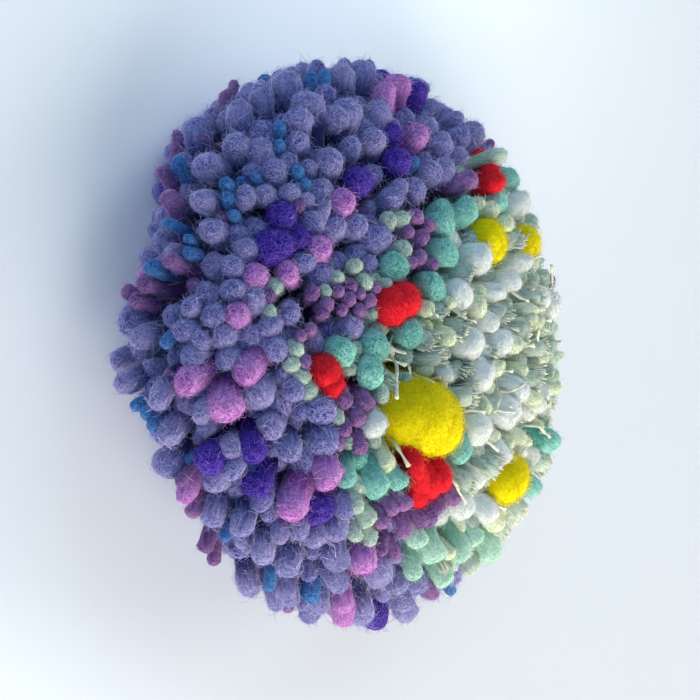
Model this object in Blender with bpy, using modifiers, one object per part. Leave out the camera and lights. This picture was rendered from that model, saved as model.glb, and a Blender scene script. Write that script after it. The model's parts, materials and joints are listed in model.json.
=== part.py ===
"""A yarn pom pom for a wall: a flat-backed bundle of cut yarn, tied at the middle of its back.

Frame, in metres: the origin is the middle of the flat back, where the bundle is tied and held.
+X runs to the right along the wall, +Z runs up, and -Y points out of the wall, to the front.
Every strand lies along a ray from the origin and keeps inside its own cone, so that the strands
stand apart everywhere but at their roots. A direction is given by two angles in degrees: clock, which
is 0 at +X and 90 at +Z, and polar, which is the angle away from the front axis.
"""

import math
import random

import bmesh
import bpy
from mathutils import Matrix, Vector

# ---------------------------------------------------------------- driving dimensions, metres and degrees
RADIUS = 0.077              # of the widest ring of yarn ends
WIDEST_FROM_WALL = 0.026    # how far the widest ring stands off the back
FRONT_DEPTH = 0.029         # from the widest ring to the front
BACK_DEPTH = 0.031          # of the back's rounding, which the wall cuts short
BACK_SQUARENESS = 3.0       # 2 would round the back as an ellipse
FRONT_TIPPED_UP = 5.2       # the bundle sags, so that its front looks up a little

TIED_RADIUS = 0.0235        # of the packed waist, where the strands are drawn together
TIED_DEPTH = 0.0185

STRANDS_ACROSS = 17         # the bundle is 17 x 17 strands, each in its own cell
UNEVENNESS = 0.24           # how far a cell's corners wander, as a share of a cell
LENGTH_SPREAD = (0.93, 1.03)
LEAN_SPREAD = 0.07          # how far a tip leans inside its cone, as a share of the cell

GAP = 0.0003                # between one piece and the next
PATCH_BACKING = 0.0014      # thickness of the strip that the patch's strands grow from

SEED = 11

# A strand from root to tip: how far out it is, and how wide as a share of its cell.
STRAND_PROFILE = (
    # along, width
    (0.00, 0.60),
    (0.85, 0.84),
    (0.95, 0.76),
    (1.00, 0.42),
)

WIDEST_SHARE = 0.9          # the most of its cell that a leaning strand takes up

# The sea-green and white patch covers the front and the right. Its edge, as a polar angle for each clock.
PATCH_EDGE = (
    # clock, polar
    (-169, 32),
    (-150, 27),
    (-133, 34),
    (-124, 44),
    (-99, 47),
    (-84, 54),
    (-69, 57),
    (-45, 68),
    (-20, 74),
    (25, 74),
    (48, 60),
    (60, 47),
    (74, 33),
    (92, 17),
    (112, 25),
    (135, 20),
    (160, 25),
    (178, 35),
)

# Thick felted ends that stand among the strands, each turned about its own axis.
FELTED_ENDS = (
    # name, colour, clock, polar, radius, across, stands_out
    ("yellow_end_1", "yellow", -105, 18, 0.0104, 1.00, 0.0020),
    ("yellow_end_2", "yellow", 39, 42, 0.0078, 1.00, 0.0000),
    ("yellow_end_3", "yellow", 26, 56, 0.0060, 1.00, 0.0005),
    ("yellow_end_4", "yellow", -49, 48, 0.0076, 1.00, 0.0005),
    ("red_end_1", "red", 134, 16, 0.0054, 1.18, 0.0005),
    ("red_end_2", "red", -167, 35, 0.0050, 0.95, 0.0000),
    ("red_end_3", "red", -91, 36, 0.0054, 1.00, 0.0005),
    ("red_end_4", "red", 52, 55, 0.0052, 1.15, 0.0010),
)
FELTED_SIDES = 12
FELTED_DRAW_IN = 0.86       # of a felted end below its tip, as a share of a straight cone's width
DOME_STEPS = 4              # in the quarter circle that rounds a felted end
ROOM_ROUND_END = 0.0008     # left clear round a felted end
CLEARANCE = 1.10            # of the nearest strands' corners, in half widths of a felted end's cone
CROWDING = 0.9              # how far the cells are pushed off a felted end, in half widths of its cone
CROWDING_REACH = 1.7
NARROWED = (1.0, 0.85, 0.7, 0.55)   # the widths that are tried for a strand beside a felted end
THINNEST_STRAND = 0.05      # across a strand, as a share of its length

COLOURS = {
    # base colour, roughness
    "periwinkle": ((0.16, 0.17, 0.42), 0.95),
    "sea_green": ((0.45, 0.62, 0.55), 0.95),
    "yellow": ((0.62, 0.52, 0.01), 0.97),
    "red": ((0.62, 0.02, 0.03), 0.97),
}

MIDDLE = Vector((0.0, -WIDEST_FROM_WALL, 0.0))
UNTIP = Matrix.Rotation(math.radians(FRONT_TIPPED_UP), 3, "X")
FRONT = Vector((0.0, -1.0, 0.0))


# ---------------------------------------------------------------- the form
def direction(clock, polar):
    """The unit vector that a clock angle and a polar angle name."""
    turn, away = math.radians(clock), math.radians(polar)
    return Vector((math.sin(away) * math.cos(turn), -math.cos(away), math.sin(away) * math.sin(turn)))


def fullness(point):
    """Over 1 outside the pom pom's overall form, and under 1 inside it."""
    local = UNTIP @ (point - MIDDLE)
    across = math.hypot(local.x, local.z) / RADIUS
    if local.y < 0:
        return across**2 + (local.y / FRONT_DEPTH) ** 2
    return across**2 + (local.y / BACK_DEPTH) ** BACK_SQUARENESS


def reach(way):
    """How far the pom pom goes from the tie along a unit vector."""
    near, far = 0.0, 2 * RADIUS
    for _ in range(32):
        halfway = (near + far) / 2
        if fullness(way * halfway) < 1:
            near = halfway
        else:
            far = halfway
    return near


def tied_reach(way):
    """How far the packed waist goes along a unit vector."""
    across = math.hypot(way.x, way.z) / TIED_RADIUS
    return 1 / math.hypot(across, way.y / TIED_DEPTH)


def shares_of_surface(steps=90):
    """For each whole step of the polar angle, the share of the pom pom's surface that lies inside it."""
    ring = [direction(0, 90 * i / steps) for i in range(steps + 1)]
    ring = [way * reach(way) for way in ring]
    covered = [0.0]
    for inner, outer in zip(ring, ring[1:]):
        covered.append(covered[-1] + (inner.x + outer.x) * (outer - inner).length)
    return [area / covered[-1] for area in covered]


SHARES = shares_of_surface()


def polar_for(share):
    """The polar angle that holds this share of the surface inside it."""
    for i, (low, high) in enumerate(zip(SHARES, SHARES[1:])):
        if share <= high:
            return 90 * (i + (share - low) / (high - low)) / (len(SHARES) - 1)
    return 90.0


def square_to_direction(a, b):
    """Spreads the square from -1 to 1 evenly over the dome. Its edge becomes the rim against the wall."""
    size = max(abs(a), abs(b))
    if size < 1e-9:
        return FRONT.copy()
    if abs(a) >= abs(b):
        clock = 45 * b / a + (180 if a < 0 else 0)
    else:
        clock = 90 - 45 * a / b + (180 if b < 0 else 0)
    return direction(clock, polar_for(size**2))


def angle_past(way, axis):
    return math.degrees(way.angle(axis, 0.0))


def patch_edge(clock):
    """The patch's edge at this clock angle, as a polar angle."""
    rows = PATCH_EDGE + ((PATCH_EDGE[0][0] + 360, PATCH_EDGE[0][1]),)
    while clock < rows[0][0]:
        clock += 360
    for (low, low_polar), (high, high_polar) in zip(rows, rows[1:]):
        if clock <= high:
            return low_polar + (high_polar - low_polar) * (clock - low) / (high - low)
    return rows[-1][1]


def in_patch(way):
    clock = math.degrees(math.atan2(way.z, way.x))
    return angle_past(way, FRONT) < patch_edge(clock)


# ---------------------------------------------------------------- felted ends
def felted_axis(row):
    return direction(row[2], row[3])


def felted_tip(row):
    """How far from the tie a felted end's tip is."""
    return reach(felted_axis(row)) + row[6]


def felted_room(row):
    """The half angle of the cone that is kept clear for a felted end, in degrees."""
    _, _, _, _, radius, across, _ = row
    widest = radius * max(across, 1 / across)
    return math.degrees(math.atan2(widest + ROOM_ROUND_END, felted_tip(row) - radius))


def turned_away(way, axis, angle):
    """The unit vector this far from an axis, in degrees, on the same side of it as way."""
    return Matrix.Rotation(math.radians(angle - angle_past(way, axis)), 3, axis.cross(way)) @ way


def crowd(way):
    """Moves a cell's corner away from the felted ends, so that the cells crowd round them."""
    for row in FELTED_ENDS:
        axis, room = felted_axis(row), felted_room(row)
        away = angle_past(way, axis)
        push = CROWDING * room * math.exp(-((away / (CROWDING_REACH * room)) ** 2))
        way = turned_away(way, axis, math.hypot(away, push))
    if way.y > 0:
        way.y = 0.0
    return way.normalized()


def keep_clear(way):
    """Moves a strand's corner out of the cone of any felted end that it is in."""
    for row in FELTED_ENDS:
        axis, room = felted_axis(row), felted_room(row)
        if angle_past(way, axis) < CLEARANCE * room:
            way = turned_away(way, axis, CLEARANCE * room)
    return way


def is_clear(way):
    return all(angle_past(way, felted_axis(row)) > felted_room(row) for row in FELTED_ENDS)


# ---------------------------------------------------------------- the scene
def clear_scene():
    for obj in list(bpy.data.objects):
        bpy.data.objects.remove(obj, do_unlink=True)


def make_materials():
    made = {}
    for name, (colour, roughness) in COLOURS.items():
        material = bpy.data.materials.new(name + "_wool")
        material.use_nodes = True
        shader = material.node_tree.nodes["Principled BSDF"]
        shader.inputs["Base Color"].default_value = (*colour, 1.0)
        shader.inputs["Roughness"].default_value = roughness
        shader.inputs["Metallic"].default_value = 0.0
        made[name] = material
    return made


def add_object(name, mesh, material, collection):
    obj = bpy.data.objects.new(name, mesh)
    mesh.materials.append(material)
    collection.objects.link(obj)
    return obj


# ---------------------------------------------------------------- strands
def cell_sheet(distance):
    """A bmesh of the dome's cells, with each corner at distance(way) from the tie along its own ray."""
    bm = bmesh.new()
    bmesh.ops.create_grid(bm, x_segments=STRANDS_ACROSS, y_segments=STRANDS_ACROSS, size=1.0)
    dice = random.Random(SEED)
    cell = 2.0 / STRANDS_ACROSS
    for corner in bm.verts:
        a, b = corner.co.x, corner.co.y
        step_a, step_b = (dice.uniform(-UNEVENNESS, UNEVENNESS) * cell for _ in range(2))
        if max(abs(a), abs(b)) < 1 - cell / 2:
            a, b = a + step_a, b + step_b
        way = square_to_direction(a, b)
        if max(abs(a), abs(b)) < 1 - cell / 2:
            way = crowd(way)
        corner.co = way * distance(way)
    bmesh.ops.recalc_face_normals(bm, faces=bm.faces)
    return bm


def middle_of(face):
    return sum((corner.co.normalized() for corner in face.verts), Vector()).normalized()


def strand_cone(face):
    """The middle ray of the strand that a cell has room for, and the offsets of its corners, or None."""
    corners = [keep_clear(corner.co.normalized()) for corner in face.verts]
    middle = sum(corners, Vector()).normalized()
    offsets = [corner / corner.dot(middle) - middle for corner in corners]
    edges = [(here + after) / 2 for here, after in zip(offsets, offsets[1:] + offsets[:1])]
    thinnest = 2 * min(edge.length for edge in edges)
    for share in NARROWED:
        rays = [middle] + [middle + edge * share * WIDEST_SHARE for edge in edges]
        if all(is_clear(ray) for ray in rays) and thinnest * share > THINNEST_STRAND:
            return middle, [offset * share for offset in offsets]
    return None


def grow_strand(bm, face, cone, root, dice):
    """Extrudes one cell's face along its ray, ring by ring, inside the cell's cone."""
    middle, offsets = cone
    lean = offsets[0] * dice.uniform(-LEAN_SPREAD, LEAN_SPREAD)
    lean += offsets[1] * dice.uniform(-LEAN_SPREAD, LEAN_SPREAD)
    tip = reach(middle) * dice.uniform(*LENGTH_SPREAD)
    start = root(middle)
    for along, width in STRAND_PROFILE:
        made = bmesh.ops.extrude_discrete_faces(bm, faces=[face])
        face = made["faces"][0]
        distance = start + (tip - start) * along
        for corner, offset in zip(face.verts, offsets):
            corner.co = (middle + lean * along + offset * width) * distance


def grow_strands(bm, faces, root, seed):
    dice = random.Random(seed)
    for face in faces:
        cone = strand_cone(face)
        if cone:
            grow_strand(bm, face, cone, root, dice)


def make_bundle(material, collection):
    """The packed waist, flat against the wall, with the strands of the periwinkle yarn fused to it."""
    bm = cell_sheet(tied_reach)
    rim = [edge for edge in bm.edges if edge.is_boundary]
    cells = list(bm.faces)
    bmesh.ops.contextual_create(bm, geom=rim)
    bmesh.ops.recalc_face_normals(bm, faces=bm.faces)
    grow_strands(bm, [face for face in cells if not in_patch(middle_of(face))], tied_reach, SEED + 1)
    mesh = bpy.data.meshes.new("periwinkle_bundle")
    bm.to_mesh(mesh)
    bm.free()
    return add_object("periwinkle_bundle", mesh, material, collection)


def patch_inside(way):
    return tied_reach(way) + GAP


def patch_outside(way):
    return tied_reach(way) + GAP + PATCH_BACKING


def make_patch(material, collection):
    """The patch's narrow backing, a curved strip over the waist, with its strands fused to it."""
    bm = cell_sheet(patch_outside)
    others = [face for face in bm.faces if not in_patch(middle_of(face))]
    bmesh.ops.delete(bm, geom=others, context="FACES")
    cells = list(bm.faces)
    inside = bmesh.ops.extrude_face_region(bm, geom=cells, use_keep_orig=True)["geom"]
    for corner in (item for item in inside if isinstance(item, bmesh.types.BMVert)):
        way = corner.co.normalized()
        corner.co = way * patch_inside(way)
    bmesh.ops.recalc_face_normals(bm, faces=bm.faces)
    grow_strands(bm, cells, patch_outside, SEED + 2)
    mesh = bpy.data.meshes.new("sea_green_patch")
    bm.to_mesh(mesh)
    bm.free()
    return add_object("sea_green_patch", mesh, material, collection)


def make_felted_end(row, material, collection):
    """One thick felted strand: a turned profile, rounded at its tip and drawn in towards the tie."""
    name, _, _, _, radius, across, _ = row
    axis = felted_axis(row)
    tip = felted_tip(row)
    root = patch_outside(axis) + GAP
    shoulder = tip - radius
    profile = []
    for step in range(DOME_STEPS + 1):
        rise = math.radians(90 - 90 * step / DOME_STEPS)
        profile.append((radius * math.cos(rise), shoulder + radius * math.sin(rise)))
    halfway = (shoulder + root) / 2
    profile.append((radius * FELTED_DRAW_IN * halfway / shoulder, halfway))
    profile.append((radius * FELTED_DRAW_IN * root / shoulder, root))
    profile.append((0.0, root))
    profile[0] = (0.0, tip)
    bm = bmesh.new()
    corners = [bm.verts.new((out, 0.0, up)) for out, up in profile]
    for upper, lower in zip(corners, corners[1:]):
        bm.edges.new((upper, lower))
    mesh = bpy.data.meshes.new(name)
    bm.to_mesh(mesh)
    bm.free()
    obj = add_object(name, mesh, material, collection)
    turned = obj.modifiers.new("Turned", "SCREW")
    turned.axis = "Z"
    turned.steps = turned.render_steps = FELTED_SIDES
    turned.use_merge_vertices = True
    turned.merge_threshold = 0.00001
    obj.matrix_world = axis.to_track_quat("Z", "Y").to_matrix().to_4x4() @ Matrix.Diagonal((across, 1 / across, 1, 1))
    return obj


def main():
    clear_scene()
    materials = make_materials()
    collection = bpy.data.collections.new("yarn_pom_pom")
    bpy.context.scene.collection.children.link(collection)
    make_bundle(materials["periwinkle"], collection)
    make_patch(materials["sea_green"], collection)
    for row in FELTED_ENDS:
        make_felted_end(row, materials[row[1]], collection)


main()
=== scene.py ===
# %% [markdown]
# # A yarn pom pom on a wall
#
# A pom pom is a bundle of yarn tied tightly at its middle, with every loose end cut to one round
# form. This one is flat at the back, because it hangs against a wall, and it mixes many yarns: thick
# blue-violet roving with violet and orchid ends, thin blue and lilac ends, and on its right a patch
# of sea-green felt, soft white wool and frayed sage cotton, with a few big yellow and red felted ends.
#
# Nobody models a thousand ends one by one. Each kind of end is modelled once, in a few variants, and
# then planted all over the form. The cells below make the form first, then the places, the ends,
# the loose fibres and the finishes.

# %% Libraries and the frame
import math
import random

import bpy
import numpy as np
from mathutils import Matrix, Vector
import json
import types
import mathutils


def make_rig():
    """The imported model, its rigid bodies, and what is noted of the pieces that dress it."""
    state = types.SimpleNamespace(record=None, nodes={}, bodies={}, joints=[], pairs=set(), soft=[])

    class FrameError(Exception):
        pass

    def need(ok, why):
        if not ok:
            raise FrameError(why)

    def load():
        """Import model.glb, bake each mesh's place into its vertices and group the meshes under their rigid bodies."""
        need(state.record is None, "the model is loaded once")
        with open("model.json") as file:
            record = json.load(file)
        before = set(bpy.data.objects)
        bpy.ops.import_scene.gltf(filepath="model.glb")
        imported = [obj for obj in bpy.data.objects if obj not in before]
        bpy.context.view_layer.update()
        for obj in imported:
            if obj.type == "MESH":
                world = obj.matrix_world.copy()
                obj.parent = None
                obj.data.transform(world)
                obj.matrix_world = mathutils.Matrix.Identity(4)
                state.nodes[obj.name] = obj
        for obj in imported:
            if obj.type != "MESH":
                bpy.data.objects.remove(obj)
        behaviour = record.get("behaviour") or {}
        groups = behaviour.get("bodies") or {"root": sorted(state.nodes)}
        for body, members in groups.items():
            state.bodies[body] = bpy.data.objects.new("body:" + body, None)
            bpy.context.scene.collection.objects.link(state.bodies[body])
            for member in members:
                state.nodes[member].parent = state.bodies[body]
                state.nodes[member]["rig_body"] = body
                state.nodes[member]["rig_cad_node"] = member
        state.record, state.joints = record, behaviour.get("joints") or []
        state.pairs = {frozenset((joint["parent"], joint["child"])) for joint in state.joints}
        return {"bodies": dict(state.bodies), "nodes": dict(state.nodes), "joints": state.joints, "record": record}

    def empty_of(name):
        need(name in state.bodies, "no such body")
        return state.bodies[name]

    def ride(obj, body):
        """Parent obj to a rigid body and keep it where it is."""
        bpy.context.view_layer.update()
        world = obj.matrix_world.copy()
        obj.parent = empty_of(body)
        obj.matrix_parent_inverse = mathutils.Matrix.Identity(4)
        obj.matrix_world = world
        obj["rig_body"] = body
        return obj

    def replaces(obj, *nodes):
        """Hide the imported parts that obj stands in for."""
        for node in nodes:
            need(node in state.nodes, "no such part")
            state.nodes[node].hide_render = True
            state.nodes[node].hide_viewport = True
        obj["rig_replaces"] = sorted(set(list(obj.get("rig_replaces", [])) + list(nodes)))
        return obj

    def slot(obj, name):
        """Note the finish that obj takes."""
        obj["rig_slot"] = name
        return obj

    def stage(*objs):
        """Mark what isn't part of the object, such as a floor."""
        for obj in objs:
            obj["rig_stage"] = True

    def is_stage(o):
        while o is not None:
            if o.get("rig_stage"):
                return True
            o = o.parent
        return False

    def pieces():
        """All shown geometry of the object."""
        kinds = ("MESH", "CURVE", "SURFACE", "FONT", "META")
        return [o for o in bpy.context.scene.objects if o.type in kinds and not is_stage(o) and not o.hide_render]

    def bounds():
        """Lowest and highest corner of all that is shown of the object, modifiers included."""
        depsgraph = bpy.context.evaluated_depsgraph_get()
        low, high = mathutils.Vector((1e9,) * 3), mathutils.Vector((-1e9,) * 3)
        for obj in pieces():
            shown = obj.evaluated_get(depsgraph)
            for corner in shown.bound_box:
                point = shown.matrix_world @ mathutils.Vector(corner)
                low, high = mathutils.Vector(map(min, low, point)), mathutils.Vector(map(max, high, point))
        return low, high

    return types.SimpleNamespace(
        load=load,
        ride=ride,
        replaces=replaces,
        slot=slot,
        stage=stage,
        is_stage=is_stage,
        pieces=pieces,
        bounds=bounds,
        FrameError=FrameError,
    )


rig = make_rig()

for leftover in list(bpy.data.objects):
    bpy.data.objects.remove(leftover, do_unlink=True)

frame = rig.load()
CAD_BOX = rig.bounds()
MM = 0.001
print("the frame holds", len(frame["nodes"]), "nodes, in the box", CAD_BOX)

# %% [markdown]
# ## The form that the ends are trimmed to
#
# The trimmed form is a squashed ball cut flat by the wall. Its widest ring stands a third of the
# depth off the wall, and the whole bundle has sagged a little, so that its front looks up. Every
# strand starts at the tie, which is the origin, so a place on the form is a direction from there,
# and `reach` says how far the form goes that way. The functions work on whole arrays of directions
# at once, because numpy is fast only that way.

# %% The form
RADIUS = 77.0 * MM              # of the widest ring of ends
WIDEST_FROM_WALL = 26.0 * MM
FRONT_DEPTH = 29.0 * MM         # from the widest ring to the front
BACK_DEPTH = 31.0 * MM          # of the back's rounding, which the wall cuts short
BACK_SQUARENESS = 3.0
FRONT_TIPPED_UP = math.radians(5.2)


def fullness(points):
    """Over 1 outside the trimmed form, and under 1 inside it."""
    y = points[..., 1] + WIDEST_FROM_WALL
    z = points[..., 2]
    cos, sin = math.cos(FRONT_TIPPED_UP), math.sin(FRONT_TIPPED_UP)
    y, z = y * cos - z * sin, y * sin + z * cos
    across = (points[..., 0] ** 2 + z**2) / RADIUS**2
    front = (y / FRONT_DEPTH) ** 2
    back = np.abs(y / BACK_DEPTH) ** BACK_SQUARENESS
    return across + np.where(y < 0, front, back)


HALVINGS = 24       # of the gap in which the surface is looked for, until it is finer than any fibre


def reach(ways):
    """How far the form goes from the tie along each unit vector."""
    near = np.zeros(len(ways))
    far = np.full(len(ways), 2 * RADIUS)
    for _ in range(HALVINGS):
        halfway = (near + far) / 2
        inside = fullness(ways * halfway[:, None]) < 1
        near = np.where(inside, halfway, near)
        far = np.where(inside, far, halfway)
    return near


def direction(clock, polar):
    """Unit vectors from a clock angle, 0 at +X and 90 at +Z, and a polar angle from the front."""
    clock, polar = np.broadcast_arrays(np.radians(clock), np.radians(polar))
    return np.stack((np.sin(polar) * np.cos(clock), -np.cos(polar), np.sin(polar) * np.sin(clock)), axis=-1)


print("front of the form:", reach(direction(np.zeros(1), np.zeros(1))) / MM, "mm from the wall")

# %% [markdown]
# ## The camera
#
# The pom pom is seen from its left, well off to the side of straight on, through a long lens. A long
# lens from further away keeps the round form free of distortion. The camera comes first, because
# the places of the coloured ends are given as they look from it.

# %% The camera
CAMERA_PLACE = Vector((-540.4, -584.6, 42.8)) * MM
CAMERA_HEADING = math.radians(46.1)     # from +X towards +Y
CAMERA_DIP = math.radians(3.35)
LENS = 149.14
SENSOR = 36.0
FRAME_PIXELS = 700
FORM_FROM_CAMERA = (0.6, 1.0)       # in metres, where a ray from the camera is looked at
RAY_STEPS = 1601

camera = bpy.data.objects.new("camera", bpy.data.cameras.new("camera"))
bpy.context.scene.collection.objects.link(camera)
camera.data.lens = LENS
camera.data.sensor_width = SENSOR
camera.location = CAMERA_PLACE
camera.rotation_euler = (math.pi / 2 - CAMERA_DIP, 0.0, CAMERA_HEADING - math.pi / 2)
bpy.context.scene.camera = camera


def spot_at(across, down):
    """The spot of the form that shows at this pixel, or the nearest one that the pixel looks past."""
    focal = LENS / SENSOR * FRAME_PIXELS
    ray = Vector((across - FRAME_PIXELS / 2, FRAME_PIXELS / 2 - down, -focal)).normalized()
    ray = camera.rotation_euler.to_matrix() @ ray
    steps = np.linspace(*FORM_FROM_CAMERA, RAY_STEPS)[:, None]
    points = np.array(CAMERA_PLACE) + steps * np.array(ray)
    points = points[points[:, 1] < 0]
    full = fullness(points)
    inside = np.flatnonzero(full < 1)
    return points[inside[0]] if len(inside) else points[np.argmin(full)]


def seen_at(across, down):
    """The direction from the tie to that spot."""
    spot = spot_at(across, down)
    return spot / np.linalg.norm(spot)


def past_form(across, down):
    """How far the spot lies outside the form, which is nothing unless the pixel looks past it."""
    spot = spot_at(across, down)
    return max(0.0, np.linalg.norm(spot) - reach(spot[None] / np.linalg.norm(spot))[0])


middle = seen_at(FRAME_PIXELS / 2, FRAME_PIXELS / 2)
print("the middle of the frame shows the direction", middle.round(2))

# %% [markdown]
# ## The patch
#
# The sea-green and white yarns were laid in together on one side of the bundle, so that they fill
# one patch with a wandering edge. The edge is a polar angle for each clock angle, and numpy's
# `interp` joins the points.

# %% The patch and its edge
PATCH_EDGE = (
    # clock, polar
    (-169, 32),
    (-150, 27),
    (-133, 34),
    (-124, 44),
    (-99, 47),
    (-84, 54),
    (-69, 57),
    (-45, 68),
    (-20, 74),
    (25, 74),
    (48, 60),
    (60, 47),
    (74, 33),
    (92, 17),
    (112, 25),
    (135, 20),
    (160, 25),
    (178, 35),
)


def inside_patch(ways):
    """How many degrees each direction is inside the patch's edge. It is negative outside."""
    clocks, polars = zip(*PATCH_EDGE)
    clock = np.degrees(np.arctan2(ways[:, 2], ways[:, 0]))
    polar = np.degrees(np.arccos(np.clip(-ways[:, 1], -1, 1)))
    return np.interp(clock, clocks, polars, period=360) - polar


print("the patch's edge has", len(PATCH_EDGE), "corners")

# %% [markdown]
# ## The yarns
#
# Each yarn has a thickness, which decides how much room its ends take. The rest of a row is how
# unevenly it was trimmed: how far its ends stand out of the form, and how much they lean. Mint and
# foam are the dark and the light of the sea-green felted yarns. Lengths are in millimetres and
# leans in degrees.

# %% The yarns
YARNS = {
    # name: half thickness, its spread, stands out, its spread, lean
    "periwinkle": (3.2, 0.75, -0.7, 1.9, 8),
    "violet": (3.9, 0.4, 0.0, 0.8, 5),
    "orchid": (3.8, 0.4, 0.3, 0.8, 5),
    "blue": (1.9, 0.3, -0.8, 1.4, 12),
    "lilac": (1.95, 0.3, -0.5, 1.4, 14),
    "mint": (3.7, 0.4, 0.0, 0.9, 8),
    "foam": (3.5, 0.4, 0.0, 0.9, 8),
    "white": (4.2, 0.6, 0.4, 1.0, 8),
    "sage": (2.3, 0.4, -0.8, 1.3, 12),
    "cotton": (2.8, 0.4, -1.0, 1.4, 14),
    "lime": (2.3, 0.4, 0.1, 1.5, 16),
}
YARN_NAMES = list(YARNS)
print("yarns:", YARN_NAMES)

# %% [markdown]
# ## The ends that are laid in one by one
#
# A person who makes a pom pom like this picks where the bright ends go. The same is done here for
# every end that catches the eye: a row says where its tip shows in the camera's frame, and where its
# root does if it leans. `spot_at` finds that place on the form. Writing the places down as they look
# is quicker than working them out in space, and the ends can be checked one by one.

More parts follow.
